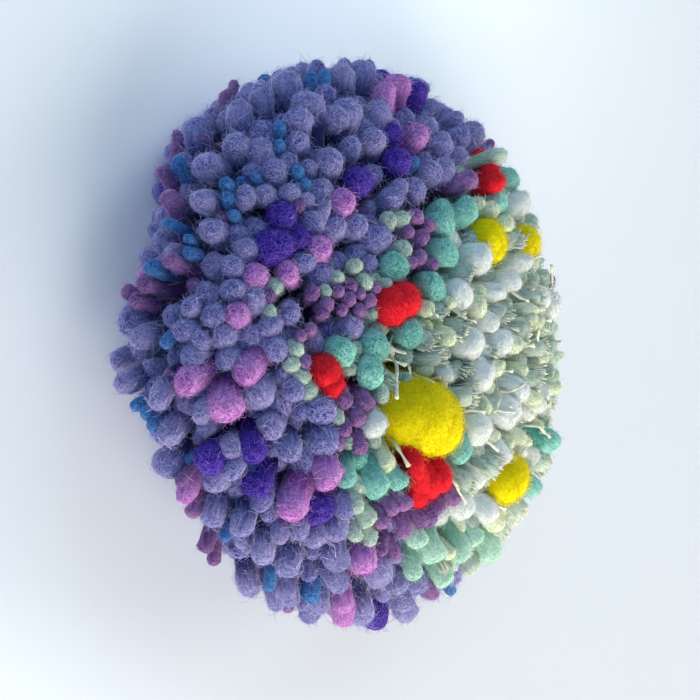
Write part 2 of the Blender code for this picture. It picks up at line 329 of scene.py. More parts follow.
# %% The placed ends
# Each row is across and down of the tip, in pixels of the square frame, then across and down of the
# root, if the end leans, half its thickness in millimetres, if it isn't the usual, and how far it
# stands out, in millimetres, if it lies over a felted end.
PLACED = {
    "periwinkle": (
        (121, 322, 168, 328, 3.8), (112, 361, 152, 356, 3.1), (125, 386, 170, 372, 3.3),
        (159, 413, 168, 376, 3.2), (130, 349, 166, 340, 3.0), (163, 472, 184, 442, 3.8),
        (208, 524, 214, 494, 3.4), (238, 528, 240, 498, 3.3), (310, 456, 304, 432, 4.4),
        (283, 462, 280, 438, 3.0), (234, 474, 238, 452, 3.1), (261, 514, 260, 492, 2.7),
        (282, 536, 280, 514, 2.6), (299, 542, 298, 520, 2.9), (325, 545, 322, 522, 3.3),
        (348, 518, 340, 482, 3.0), (262, 562, 258, 526, 3.3), (294, 577, 300, 540, 3.5),
        (338, 578, 324, 542, 3.4), (398, 584, 372, 546, 4.2), (341, 598, 316, 568, 3.3),
        (374, 622, 356, 586, 4.1), (411, 620, 398, 588, 3.7), (294, 606, 284, 576, 3.0),
        (250, 598, 246, 568, 3.2), (284, 614, 274, 586, 2.9), (332, 612, 322, 588, 2.9),
        (297, 115, 296, 104, 3.9), (330, 112, 322, 76, 3.9), (297, 142, 292, 122, 3.3),
        (275, 166, 270, 150, 3.7), (291, 184, 288, 176, 3.3), (326, 163, 322, 148, 4.0),
        (355, 140, 352, 130, 3.1), (371, 127, 372, 112, 3.7), (373, 97, 374, 112, 3.9),
        (348, 92, 348, 108, 4.1), (200, 160, 208, 148, 4.0), (196, 198, 204, 170, 3.3),
        (246, 194, 248, 168, 3.0), (265, 192, 266, 166, 2.9), (254, 300, 256, 292, 3.6),
        (270, 330, 272, 322, 3.4), (290, 316, 288, 308, 3.2), (222, 345, 226, 332, 3.2),
        (212, 318, 218, 308, 3.3), (176, 330, 190, 326, 3.2), (226, 360, 232, 348, 3.2),
        (272, 358, 270, 340, 3.7), (260, 402, 272, 376, 4.3), (287, 408, 288, 388, 3.5),
        (318, 416, 318, 398, 4.2), (266, 424, 270, 408, 3.6), (194, 418, 204, 402, 2.9),
        (176, 444, 190, 424, 3.5), (186, 372, 200, 356, 3.2), (382, 240, 376, 222, 4.2),
        (360, 226, 360, 212, 3.4), (310, 222, 312, 212, 3.6), (336, 222, 336, 214, 3.4),
        (398, 194, 398, 180, 3.4), (424, 186, 420, 168, 3.6), (444, 166, 436, 146, 3.6),
        (452, 140, 444, 122, 4.0), (470, 130, 462, 116, 3.3), (230, 290, 234, 282, 3.3),
        (302, 262, 302, 254, 3.2), (210, 230, 216, 222, 3.6), (240, 248, 244, 240, 3.2),
        (228, 262, 232, 252, 3.3), (203, 110, 212, 146, 3.9), (233, 98, 243, 138, 3.6),
        (262, 84, 264, 116, 3.5), (282, 72, 288, 104, 4.4), (236, 140, 240, 128, 3.8),
        (318, 98, 326, 132, 4.6), (345, 66, 347, 96, 4.0), (366, 60, 366, 90, 3.8),
        (452, 162, 446, 152, 3.4),
    ),
    "violet": (
        (277, 212, 278, 204, 4.2), (269, 243, 272, 236, 5.4), (298, 236, 296, 226, 3.6),
        (362, 172, 372, 150, 4.2), (396, 130, 392, 112, 3.7), (398, 156, 402, 140, 4.2),
        (204, 449, 226, 436, 4.2), (250, 455, 241, 428, 3.9), (251, 486, 258, 464, 3.8),
        (319, 517, 306, 490, 4.0), (382, 622, 380, 590), (419, 82, 421, 96, 3.2),
    ),
    "orchid": (
        (339, 194), (323, 248), (286, 268, 290, 258, 3.3), (254, 274), (237, 314, 240, 306),
        (196, 390, 216, 372, 4.1), (223, 408, 216, 366, 5.0), (241, 378, 262, 344, 3.9),
        (281, 512, 298, 472, 4.4), (321, 494, 306, 456, 4.0), (354, 574, 352, 540),
        (362, 624, 360, 594, 3.3), (423, 130, 421, 118, 3.4), (401, 79, 405, 96), (386, 84, 392, 100, 3.2),
        (184, 498, 196, 464, 2.9), (350, 610, 352, 580, 2.9),
    ),
    "blue": (
        (174, 156, 192, 168, 2.3), (163, 221, 184, 224), (146, 269, 170, 270, 2.1), (187, 239),
        (275, 120, 276, 112, 2.1), (278, 143, 278, 136, 1.7), (299, 167, 299, 158),
        (308, 177, 309, 170, 2.1), (256, 176, 256, 168, 1.7), (227, 194, 229, 186, 2.2), (225, 182),
        (229, 213, 230, 206), (313, 70, 314, 84, 1.9), (326, 68, 327, 84, 1.9), (162, 346, 168, 328),
        (135, 402, 156, 408, 2.0), (146, 411, 168, 412, 2.1), (151, 427, 174, 420, 2.2),
        (227, 533, 232, 518, 1.8), (268, 592, 272, 574, 1.8), (306, 604, 306, 588, 2.6),
        (190, 250, 200, 246, 1.8),
    ),
    "lilac": (
        (176, 131, 206, 174, 1.9), (160, 167, 200, 196, 2.1), (166, 190, 196, 230, 2.6),
        (162, 262, 192, 276), (140, 283, 186, 290, 2.2), (122, 291, 168, 300), (235, 79, 246, 108, 1.8),
        (222, 93, 240, 116, 1.8), (131, 300, 170, 306, 2.2), (424, 216, 418, 206, 2.4),
        (428, 234, 420, 224, 2.4), (424, 256, 416, 244), (438, 268, 428, 252), (416, 262), (430, 222),
        (380, 284), (353, 284), (338, 292), (328, 305), (344, 311), (360, 311), (317, 288), (298, 341),
        (309, 358), (346, 300, 352, 290), (362, 296, 366, 284), (372, 302), (330, 318),
        (350, 402, 344, 384, 2.6), (366, 408, 352, 388, 2.6), (359, 432, 348, 402, 2.4),
        (346, 440, 340, 420, 2.4), (364, 452, 350, 420, 2.4), (338, 448), (313, 336),
        (205, 553, 216, 526, 2.4), (197, 520, 206, 490, 2.2), (182, 490, 196, 470),
        (398, 516, 384, 492, 2.6), (416, 512, 396, 484, 2.8), (421, 536, 396, 502, 2.6),
        (408, 544, 388, 508, 2.6), (446, 506, 428, 488, 3.2), (434, 522, 414, 498, 2.8),
        (388, 530, 372, 500, 2.3), (454, 514, 440, 494, 2.6), (386, 548), (398, 560, 388, 540), (412, 230),
        (300, 205), (264, 299), (434, 596, 430, 572, 2.4), (212, 566, 222, 540),
        (471, 182, 464, 166, 3.0, 2.4),
    ),
    "sage": (
        (392, 216, 396, 210, 2.4), (406, 215, 408, 206, 2.5), (411, 246, 400, 240, 2.6), (365, 274),
        (358, 264), (336, 274), (294, 352, 292, 346, 2.6), (291, 368), (301, 379, 298, 372, 2.5),
        (303, 396, 302, 388, 2.7), (334, 423, 334, 408, 2.4), (267, 309), (366, 512, 356, 492, 2.6),
        (376, 522, 362, 498, 2.8), (366, 540, 356, 520, 2.2), (382, 544, 372, 524, 2.6), (275, 286),
        (398, 300), (328, 296), (500, 160, 462, 166, 2.2, 2.2),
    ),
    "mint": (
        (452, 224, 450, 210, 3.9), (474, 211, 470, 200, 3.8), (454, 250, 452, 240, 4.0),
        (400, 269, 398, 258, 4.0), (437, 285, 436, 274, 4.3), (337, 344, 336, 336, 4.2),
        (376, 342, 376, 332, 4.1), (412, 334, 414, 324, 4.0), (372, 376, 374, 362, 4.0),
        (500, 196, 494, 186, 4.3), (518, 178, 510, 168, 3.2), (385, 505, 352, 446, 3.6),
        (406, 500, 376, 452, 3.1), (459, 459, 446, 440, 3.7), (553, 446, 532, 420, 3.3),
        (537, 487, 522, 462, 3.2), (350, 478, 346, 452, 2.8),
    ),
    "foam": (
        (434, 560, 424, 528, 3.8), (462, 556, 452, 526, 3.8), (446, 581, 438, 560, 3.4),
        (494, 553, 478, 522, 3.6), (418, 574, 412, 556, 2.9), (478, 536, 466, 508, 3.2),
        (424, 544, 412, 522, 2.9),
    ),
    "white": (
        (466, 296, 462, 284, 4.6), (490, 258, 482, 244, 4.4), (476, 352, 470, 336, 4.5),
        (484, 384, 476, 368, 4.8), (518, 278, 510, 266, 3.4), (377, 431, 372, 416, 3.6, 0.8),
        (482, 438, 474, 420, 4.9), (516, 424, 506, 406, 4.6), (462, 516, 454, 494, 3.7),
        (490, 520, 474, 500, 3.7), (528, 202, 520, 188, 3.7), (455, 378, 450, 364, 2.1),
        (498, 326, 492, 316, 2.8), (512, 344), (530, 262, 524, 250, 2.8), (524, 398, 514, 384, 3.4),
        (500, 470, 490, 452, 3.0), (504, 294, 498, 284, 3.0),
    ),
    "cotton": (
        (441, 352, 414, 366, 2.6), (478, 391, 446, 402, 3.2), (497, 482, 452, 462, 3.8),
        (478, 490, 450, 462, 3.2), (548, 467, 524, 446, 3.0), (520, 519, 498, 500, 2.8),
        (546, 350, 524, 340, 2.6), (541, 380, 520, 372, 2.6), (447, 318, 440, 304, 2.6),
        (438, 341, 430, 326, 2.8), (500, 540, 488, 516), (530, 330, 518, 318), (510, 312, 500, 300),
        (470, 268, 462, 256, 2.6), (540, 300, 528, 290), (496, 362, 488, 348), (462, 330, 456, 320),
        (520, 240, 510, 230, 2.6),
    ),
    "lime": (
        (454, 338, 440, 312, 2.4), (509, 231, 504, 218, 2.8), (386, 468, 390, 440, 3.0), (498, 366),
        (516, 345, 500, 336, 2.8), (534, 322), (511, 444), (537, 308, 528, 316, 2.2), (488, 412),
        (484, 306, 478, 292, 3.4), (496, 528, 476, 516, 2.6), (434, 312, 430, 300),
        (500, 208, 492, 196, 2.8), (526, 372), (540, 400, 530, 390), (524, 440, 512, 430), (456, 306),
    ),
}
print("placed one by one:", sum(len(ends) for ends in PLACED.values()))

# %% [markdown]
# ## A place for every end
#
# Ends that are laid in by hand crowd each other evenly, because they are soft. The same thing is done
# here in three steps. First each region is filled with random places until the ends' cross sections
# add up to its surface. Then `settle` lets them push each other apart, round after round. The placed
# ends hardly give way, and the big felted ends don't move at all. Last, each gap that is left gets
# one more end. Ends need more room where they hang, because their sides show there, and at the rim,
# where they stand apart.

# %% The felted ends are read from the frame
FELTED_NODES = sorted(node for node in frame["nodes"] if node.startswith(("yellow_end", "red_end")))


def felted_place(node):
    """Where a felted node's tip is, as a direction and a distance, and half its thickness."""
    mesh = frame["nodes"][node].data
    points = np.array([vertex.co for vertex in mesh.vertices])
    distances = np.linalg.norm(points, axis=1)
    axis = points[distances.argmax()] / distances.max()
    aside = points - (points @ axis)[:, None] * axis
    return axis, distances.max(), np.linalg.norm(aside, axis=1).max()


FELTED = {node: felted_place(node) for node in FELTED_NODES}
FELTED_LOOKS = {
    # node: half thickness, its body's share of that, how far its tip stands out, how far it leans across and
    # up, and its lobes as across, up and size
    "yellow_end_1": (
        11.0, 1.0, 4.4, (0.12, -0.22),
        ((-0.6, -4.2, 0.90), (2.6, -5.4, 0.97), (6.6, -7.0, 0.90)),
    ),
    "yellow_end_2": (5.7, 1.0, 1.0, (0.20, -0.20), ((-0.5, 0.8, 1.0), (0.5, -1.2, 0.90))),
    "yellow_end_3": (5.0, 1.0, -0.6, (0.10, -0.10), ((0, 0, 1.0),)),
    "yellow_end_4": (7.0, 1.0, 2.2, (0.15, -0.20), ((0.5, 0.3, 1.0), (-1.7, -0.9, 0.88))),
    "red_end_1": (5.4, 1.0, 2.0, (0.05, -0.10), ((-1.8, -0.7, 1.0), (2.0, 0.5, 0.93))),
    "red_end_2": (4.6, 0.8, 1.4, (0.05, -0.10), ((-0.8, 1.6, 0.98), (1.2, -2.0, 0.80))),
    "red_end_3": (
        5.4, 0.45, 2.6, (0.30, -0.70),
        ((-6.2, 5.2, 0.45), (-3.4, 1.6, 0.60), (0.6, -0.2, 0.68), (4.4, 1.0, 0.60), (-2.0, -3.6, 0.66)),
    ),
    "red_end_4": (
        4.2, 0.7, 1.2, (-0.45, -0.20),
        ((-5.6, -4.2, 0.68), (-0.6, -1.6, 0.72), (5.4, 3.4, 0.80), (1.6, 2.6, 0.60)),
    ),
}


def felted_sides(node):
    """The directions across and up that a felted end's lobes are given in."""
    side = np.cross((0, 0, 1), FELTED[node][0])
    side /= np.linalg.norm(side)
    return side, np.cross(FELTED[node][0], side)


def felted_tips(node):
    """Where the tip of each of its lobes is."""
    axis, distance, _ = FELTED[node]
    half, _, stands_out, _, lobes = FELTED_LOOKS[node]
    side, above = felted_sides(node)
    return np.array([
        axis * (distance + (stands_out - (1 - size) * half) * MM) + (across * side + up * above) * MM
        for across, up, size in lobes
    ])


print({node: round(half / MM, 1) for node, (_, _, half) in FELTED.items()})

# %% Random places, spread evenly over the form
BAND_EDGES = np.linspace(0, 87, 88)     # polar angles in degrees, which cut the form into rings
SLOPE_STEP = 0.1 * MM                   # over which the form's slope is measured
DICE_SEED = 5
dice = np.random.default_rng(DICE_SEED)
band_ring = direction(np.zeros(len(BAND_EDGES)), BAND_EDGES)
band_ring = band_ring * reach(band_ring)[:, None]
band_slant = np.linalg.norm(np.diff(band_ring, axis=0), axis=1)
BAND_AREAS = math.pi * (band_ring[1:, 0] + band_ring[:-1, 0]) * band_slant
FORM_AREA = BAND_AREAS.sum()


def random_ways(count):
    """Directions at random, as many to each square millimetre everywhere on the form."""
    shares = np.concatenate(([0], np.cumsum(BAND_AREAS))) / FORM_AREA
    return direction(dice.uniform(-180, 180, count), np.interp(dice.random(count), shares, BAND_EDGES))


def facing(ways):
    """The way the form's surface is turned, where each direction from the tie meets it."""
    points = ways * reach(ways)[:, None]
    slope = np.stack([fullness(points + step) - fullness(points) for step in SLOPE_STEP * np.eye(3)], axis=-1)
    return slope / np.linalg.norm(slope, axis=1)[:, None]


def faces_camera(ways):
    """True where the form's surface is turned to the camera."""
    points = ways * reach(ways)[:, None]
    return (facing(ways) * (np.array(CAMERA_PLACE) - points)).sum(axis=1) > 0


print("surface of the form:", round(FORM_AREA / MM**2), "square millimetres")

# %% What fills each region
MIXES = {
    # region: yarn and share of the surface
    "main_seen": {"periwinkle": 0.95, "blue": 0.03, "lilac": 0.02},
    "main_unseen": {"periwinkle": 0.78, "orchid": 0.06, "violet": 0.05, "blue": 0.06, "lilac": 0.05},
    "patch_edge": {"mint": 0.32, "sage": 0.48, "cotton": 0.04, "lilac": 0.16},
    "patch": {"cotton": 0.11, "white": 0.16, "lime": 0.26, "sage": 0.44, "mint": 0.03},
}
EDGE_BAND = 8.0         # degrees inside the patch's edge that count as its edge
FULL = 0.74             # cross sections over surface, where ends are packed soft against soft
HANGING_ROOM = 0.22     # how much more room an end takes where it hangs and its side shows
RIM_ROOM = 0.15         # and how much more it takes at the rim, where the ends stand apart
HANGS = (0.05, 0.75)    # how far down a direction points where ends begin to hang, and where they do fully
AT_RIM = (0.25, 0.45)   # how far it points to the front where the rim is, and where it has ended


def hanging(ways):
    """How much the ends hang: 0 in the upper half and 1 at the bottom."""
    return np.interp(-ways[..., 2], HANGS, (0, 1))


def room_share(ways):
    """How much room an end takes, as a share of its own thickness."""
    at_rim = np.interp(-ways[..., 1], AT_RIM, (1, 0))
    return 1 + HANGING_ROOM * hanging(ways) + RIM_ROOM * at_rim


def regions_of(ways):
    """The name of the region that each direction meets."""
    inside = inside_patch(ways)
    main = np.where(faces_camera(ways), "main_seen", "main_unseen")
    return np.where(inside < 0, main, np.where(inside < EDGE_BAND, "patch_edge", "patch"))


print("regions:", list(MIXES))

# %% The placed ends and the felted ones come first
ROOT_DEPTH = 12.0 * MM      # how far under the surface the root of a placed end is looked for
OVER_ROOT_DEPTH = 1.0 * MM  # and of a long one that lies over a felted end
LONG = 24                   # pixels from tip to root, past which the body of an end needs room too
BODY_SHARES = (0.55, 0.45)  # of the tip's place and of the root's, which gives the place of that body
BODY_HALF = 0.7             # and how thick it is there, as a share of the end
PLACED_GIVE = 0.07          # how freely a placed end gives way to its neighbours
NO_AIM = np.full(3, np.nan)


def aim_between(tip_spot, root_spot, depth=ROOT_DEPTH):
    """The direction of a strand from the spot where its root shows to the spot where its tip does."""
    tip, root = seen_at(*tip_spot), seen_at(*root_spot)
    both = np.array((tip, root))
    tip_reach, root_reach = reach(both)
    aim = tip * tip_reach - root * (root_reach - depth)
    return aim / np.linalg.norm(aim)


def start_places():
    """The placed ends and the felted ones: way, half thickness, yarn, how freely each gives way, aim, and
    how far it stands out."""
    rows = []
    for yarn, spots in PLACED.items():
        usual, spread, *_ = YARNS[yarn]
        for across, down, *more in spots:
            root = tuple(more[:2])
            half = more[2] if len(more) > 2 else usual + dice.uniform(-1, 1) * spread
            over = more[3] * MM if len(more) > 3 else 0.0
            is_long = bool(root) and math.dist((across, down), root) > LONG
            depth = OVER_ROOT_DEPTH if over and is_long else ROOT_DEPTH
            aim = aim_between((across, down), root, depth) if root else NO_AIM
            gives = 0.0 if over else PLACED_GIVE
            rows.append((seen_at(across, down), half * MM, yarn, gives, aim, past_form(across, down) + over))
            if is_long:
                body = seen_at(*np.average(((across, down), root), axis=0, weights=BODY_SHARES))
                rows.append((body, BODY_HALF * half * MM, "room for a body", 0.0, NO_AIM, 0.0))
    for node in FELTED:
        half, *_, lobes = FELTED_LOOKS[node]
        for tip, (_, _, size) in zip(felted_tips(node), lobes):
            rows.append((tip / np.linalg.norm(tip), size * half * MM, "felted", 0.0, NO_AIM, 0.0))
    return [list(column) for column in zip(*rows)]


print("the root of a placed end is looked for", ROOT_DEPTH / MM, "mm under the surface")

# %% Random ends fill the rest
SAMPLES = 6000              # directions that measure how much of the form each region has
MOST_FILLING_ENDS = 8000


def add_end(columns, way, half, yarn):
    """Adds a random end, which gives way freely, has no aim of its own and stays within the form."""
    for column, value in zip(columns, (way, half, yarn, 1.0, NO_AIM, 0.0)):
        column.append(value)


def fill(*columns):
    """Adds random ends until every region is full."""
    ways, halves, *_ = columns
    sample = regions_of(random_ways(SAMPLES))
    room = {region: FULL * FORM_AREA * np.mean(sample == region) for region in MIXES}
    for region, half in zip(regions_of(np.array(ways)), halves):
        room[region] -= math.pi * half**2
    more = random_ways(MOST_FILLING_ENDS)
    for way, region in zip(more, regions_of(more)):
        if room[region] < 0:
            continue
        names, shares = zip(*MIXES[region].items())
        sizes = np.array([YARNS[name][0] for name in names])
        chances = np.array(shares) / sizes**2
        yarn = names[dice.choice(len(names), p=chances / chances.sum())]
        half = (YARNS[yarn][0] + dice.uniform(-1, 1) * YARNS[yarn][1]) * MM
        add_end(columns, way, half, yarn)
        room[region] -= math.pi * (half * room_share(way)) ** 2
    return [np.array(column) for column in columns]


print("at most", MOST_FILLING_ENDS, "random ends are tried")

# %% The ends push each other apart
SETTLING_ROUNDS = 90
PUSH = 0.28                     # how much of an overlap each round takes away, from both sides
RIM_CLEARANCE = 0.5 * MM        # between the wall and the ends next to it
TINY = 1e-9                     # keeps a distance of nothing from being divided by


def settle(ways, halves, give):
    """Pushes ends that overlap apart, along the form, round after round."""
    for _ in range(SETTLING_ROUNDS):
        room = halves * room_share(ways)
        wanted = room[:, None] + room[None, :]
        np.fill_diagonal(wanted, 0)
        points = ways * reach(ways)[:, None]
        apart = points[:, None] - points[None, :]
        distance = np.sqrt((apart**2).sum(axis=2)) + TINY
        push = np.maximum(wanted - distance, 0) / distance
        points = points + PUSH * give[:, None] * (apart * push[:, :, None]).sum(axis=1)
        points[:, 1] = np.minimum(points[:, 1], -(halves + RIM_CLEARANCE))
        ways = points / np.linalg.norm(points, axis=1)[:, None]
    return ways


places = fill(*start_places())
places[0] = settle(places[0], places[1], places[3])
print(len(places[0]), "ends have settled")

# %% The gaps that are left get one more end each
MOST_PLUGS = 150
PLUG_SPOTS = 7000               # places that are looked at for a gap
NARROWEST_PLUG = 1.7 * MM
PLUG_OVERLAP = 1.25             # a plug is this much thicker than its gap


def gap_at(spots, points, halves):
    """How far each spot is from the side of the nearest end."""
    return (np.linalg.norm(spots[:, None] - points[None], axis=2) - halves[None]).min(axis=1)


def plug_gaps(places):
    """Puts one more end into each gap that is left, the widest gaps first."""
    columns = [list(column) for column in places]
    ways, halves, *_ = columns
    spare = random_ways(PLUG_SPOTS)
    spots = spare * reach(spare)[:, None]
    for _ in range(MOST_PLUGS):
        points = np.array(ways) * reach(np.array(ways))[:, None]
        gaps = gap_at(spots, points, np.array(halves))
        widest = gaps.argmax()
        if gaps[widest] < NARROWEST_PLUG:
            break
        names, shares = zip(*MIXES[regions_of(spare[widest : widest + 1])[0]].items())
        yarn = names[dice.choice(len(names), p=shares)]
        add_end(columns, spare[widest], min(YARNS[yarn][0] * MM, PLUG_OVERLAP * gaps[widest]), yarn)
    print("gaps plugged:", len(ways) - len(places[0]))
    return [np.array(column) for column in columns]


ways, halves, yarns, give, laid_aims, past_by = plug_gaps(places)
counts = {yarn: int((yarns == yarn).sum()) for yarn in YARN_NAMES}
print(sum(counts.values()), "ends:", counts)

# %% [markdown]
# ## One end of each kind
#
# A cut end of roving is a soft finger with a round tip. It is modelled tip up, with the tip at the
# origin: a small polygon is extruded ring by ring, and the last ring is merged to a point. Each ring
# also wanders a little sideways, so a few variants of one profile look like a whole yarn. Every point
# remembers where it was on its finger, in millimetres, in an attribute called grain. The finishes
# read it later, so that the fibres follow the strand wherever it is planted.

# %% Modelling a finger, ring by ring
TIP_WIDENING = 0.5      # of the last ring, just before it is merged to a point
workshop = bpy.data.collections.new("workshop")
bpy.context.scene.collection.children.link(workshop)


def deselect_all():
    """An operator acts on all that is selected, so each piece starts with nothing selected."""
    bpy.ops.object.select_all(action="DESELECT")


def extrude_to(centre, new_centre, widening):
    """Extrudes the selected face to a new centre and widens it by a factor there."""
    step = new_centre - centre
    bpy.ops.mesh.extrude_region_move(TRANSFORM_OT_translate={"value": step})
    bpy.ops.transform.resize(value=(widening, widening, widening), center_override=new_centre)


def fix_face_order(piece):
    """Sorts the faces by their corners. Extrude makes them in no fixed order, and the fibres are dealt out
    face by face, so without this they would stand elsewhere on each run."""
    mesh = piece.data
    places = [tuple(vertex.co) for vertex in mesh.vertices]
    faces = []
    for face in mesh.polygons:
        corners = list(face.vertices)
        first = corners.index(min(corners))
        faces.append(corners[first:] + corners[:first])
    mesh.clear_geometry()
    mesh.from_pydata(places, [], sorted(faces))
    mesh.update()


def leave_edit_mode(piece, name):
    """Ends the modelling of a piece: normals out, transforms applied, faces in a fixed order, and smooth."""
    bpy.ops.mesh.select_all(action="SELECT")
    bpy.ops.mesh.normals_make_consistent(inside=False)
    bpy.ops.object.mode_set(mode="OBJECT")
    bpy.ops.object.transform_apply(location=True, rotation=True, scale=True)
    fix_face_order(piece)
    bpy.ops.object.shade_smooth()
    piece.name = name
    return piece


def model_finger(name, profile, half, length, sides, wander, rng):
    """A finger along -Z with its tip at the origin. The profile's rows are along and width, as shares."""
    deselect_all()
    root_along, root_width = profile[0]
    centre = Vector((0.0, 0.0, (root_along - 1) * length))
    bpy.ops.mesh.primitive_circle_add(
        vertices=sides, radius=half * root_width, fill_type="NGON", location=centre
    )
    finger = bpy.context.object
    bpy.ops.object.mode_set(mode="EDIT")
    bpy.ops.mesh.select_all(action="SELECT")
    width = root_width
    for along, new_width in profile[1:]:
        aside = wander * half * (1 - along)
        new_centre = Vector((rng.uniform(-aside, aside), rng.uniform(-aside, aside), (along - 1) * length))
        extrude_to(centre, new_centre, new_width / width)
        centre, width = new_centre, new_width
    extrude_to(centre, Vector((0.0, 0.0, 0.0)), TIP_WIDENING)
    bpy.ops.mesh.merge(type="CENTER")
    return leave_edit_mode(finger, name)


def remember_grain(piece):
    """Writes each point's place on its own strand, in millimetres, into the attribute grain."""
    grain = piece.data.attributes.new("grain", "FLOAT_VECTOR", "POINT")
    grain.data.foreach_set("vector", [number / MM for point in piece.data.vertices for number in point.co])


def put_away(pieces, name):
    """Moves finished masters into a collection of their own, which the planting picks from."""
    box = bpy.data.collections.new(name)
    workshop.children.link(box)
    for piece in pieces:
        for home in list(piece.users_collection):
            home.objects.unlink(piece)
        box.objects.link(piece)
    return box


print("the workshop holds", len(workshop.all_objects), "masters so far")

# %% The profiles of the cut ends
# Each pair is how far along the finger a ring is, from root to tip, and how wide it is there, as shares.
SOFT_TIP = (
    (0.10, 0.46), (0.28, 0.66), (0.46, 0.83), (0.61, 0.94),
    (0.74, 1.0), (0.85, 1.0), (0.93, 0.84), (0.978, 0.52),
)
FELTED_TIP = ((0.10, 0.55), (0.50, 0.88), (0.80, 1.0), (0.91, 0.98), (0.965, 0.80), (0.99, 0.48))
SMOOTH_TIP = ((0.10, 0.55), (0.50, 0.80), (0.76, 1.0), (0.89, 1.02), (0.953, 0.86), (0.986, 0.52))
THIN_TIP = (
    (0.10, 0.66), (0.30, 0.78), (0.50, 0.90), (0.64, 0.84),
    (0.77, 1.02), (0.86, 0.88), (0.94, 0.98), (0.985, 0.56),
)
FINGER_LENGTH = 24.0 * MM
FINGER_HALF = 3.5 * MM
THIN_HALF = 1.9 * MM
SMOOTH_HALF = 2.3 * MM
MASTER_HALF = {}


def model_variants(name, profile, half, length, sides, wander, count):
    """A few fingers of one profile, no two the same."""
    rng = random.Random(name)
    fingers = []
    for number in range(count):
        finger = model_finger(f"{name}_{number}", profile, half, length, sides, wander, rng)
        remember_grain(finger)
        fingers.append(finger)
    MASTER_HALF[name] = half
    return put_away(fingers, name)


soft_fingers = model_variants("soft_finger", SOFT_TIP, FINGER_HALF, FINGER_LENGTH, sides=12, wander=0.5, count=6)
felted_fingers = model_variants("felted_finger", FELTED_TIP, FINGER_HALF, FINGER_LENGTH, sides=12, wander=1.0, count=4)
thin_fingers = model_variants("thin_finger", THIN_TIP, THIN_HALF, FINGER_LENGTH, sides=8, wander=1.2, count=5)
smooth_fingers = model_variants("smooth_finger", SMOOTH_TIP, SMOOTH_HALF, FINGER_LENGTH, sides=8, wander=1.3, count=5)
print("masters:", [piece.name for piece in workshop.all_objects])

# %% [markdown]
# ## Planting
#
# Geometry Nodes does the planting. The places go in as a mesh of loose points that carry a turn, a
# size, a tone and a kind. Instance on Points puts a master on each one, Realize Instances makes
# the copies real, and a slow noise then pushes every finger a little out of shape, so that no two
# stay the same. The modifier is applied at once, so each yarn ends up as one plain mesh.
#
# An end points away from the tie, but it also stands up straight on the form, because its neighbours
# push it there, lies over a little towards the rim, and hangs where it is low down. A placed end
# points from its root to its tip, and one that lies over a felted end starts near the surface. The
# rim isn't an even ring: some ends stand out there, and bays were trimmed into it here and there.

# %% Helpers that add and link nodes
BACK_LIMIT = (1.0, -0.3 * MM, 1.0)      # no point goes past it: only its Y matters on a thing this small


def add_node(tree, kind, inputs=(), **settings):
    """Adds a node. Each input, by name or number, is given a value or another node's output."""
    node = tree.nodes.new(kind)
    for key, value in settings.items():
        setattr(node, key, value)
    for socket, value in dict(inputs).items():
        if isinstance(value, bpy.types.NodeSocket):
            tree.links.new(value, node.inputs[socket])
        else:
            node.inputs[socket].default_value = value
    return node


def named_attribute(tree, name, data_type):
    """The output of a node that reads an attribute of the mesh."""
    node = add_node(tree, "GeometryNodeInputNamedAttribute", {"Name": name}, data_type=data_type)
    return node.outputs["Attribute"]


def pieces_in(tree, collection):
    """The pieces of a collection one by one, for Instance on Points to pick from."""
    node = add_node(tree, "GeometryNodeCollectionInfo", {
        "Collection": collection, "Separate Children": True, "Reset Children": True,
    })
    return node.outputs["Instances"]


def start_node_group(name, inputs):
    """A geometry node group with its inputs, and its two end nodes."""
    tree = bpy.data.node_groups.new(name, "GeometryNodeTree")
    tree.interface.new_socket("Geometry", in_out="INPUT", socket_type="NodeSocketGeometry")
    for socket, socket_type in inputs:
        tree.interface.new_socket(socket, in_out="INPUT", socket_type=socket_type)
    tree.interface.new_socket("Geometry", in_out="OUTPUT", socket_type="NodeSocketGeometry")
    return tree, add_node(tree, "NodeGroupInput"), add_node(tree, "NodeGroupOutput")


def keep_off_wall(tree, geometry):
    """Presses whatever would reach through the wall flat in front of it."""
    place = add_node(tree, "GeometryNodeInputPosition").outputs["Position"]
    clear = add_node(tree, "ShaderNodeVectorMath", {0: place, 1: BACK_LIMIT}, operation="MINIMUM")
    move = add_node(tree, "GeometryNodeSetPosition", {
        "Geometry": geometry, "Position": clear.outputs["Vector"],
    })
    return move.outputs["Geometry"]


print("pieces stay", -BACK_LIMIT[1] / MM, "mm in front of the wall")

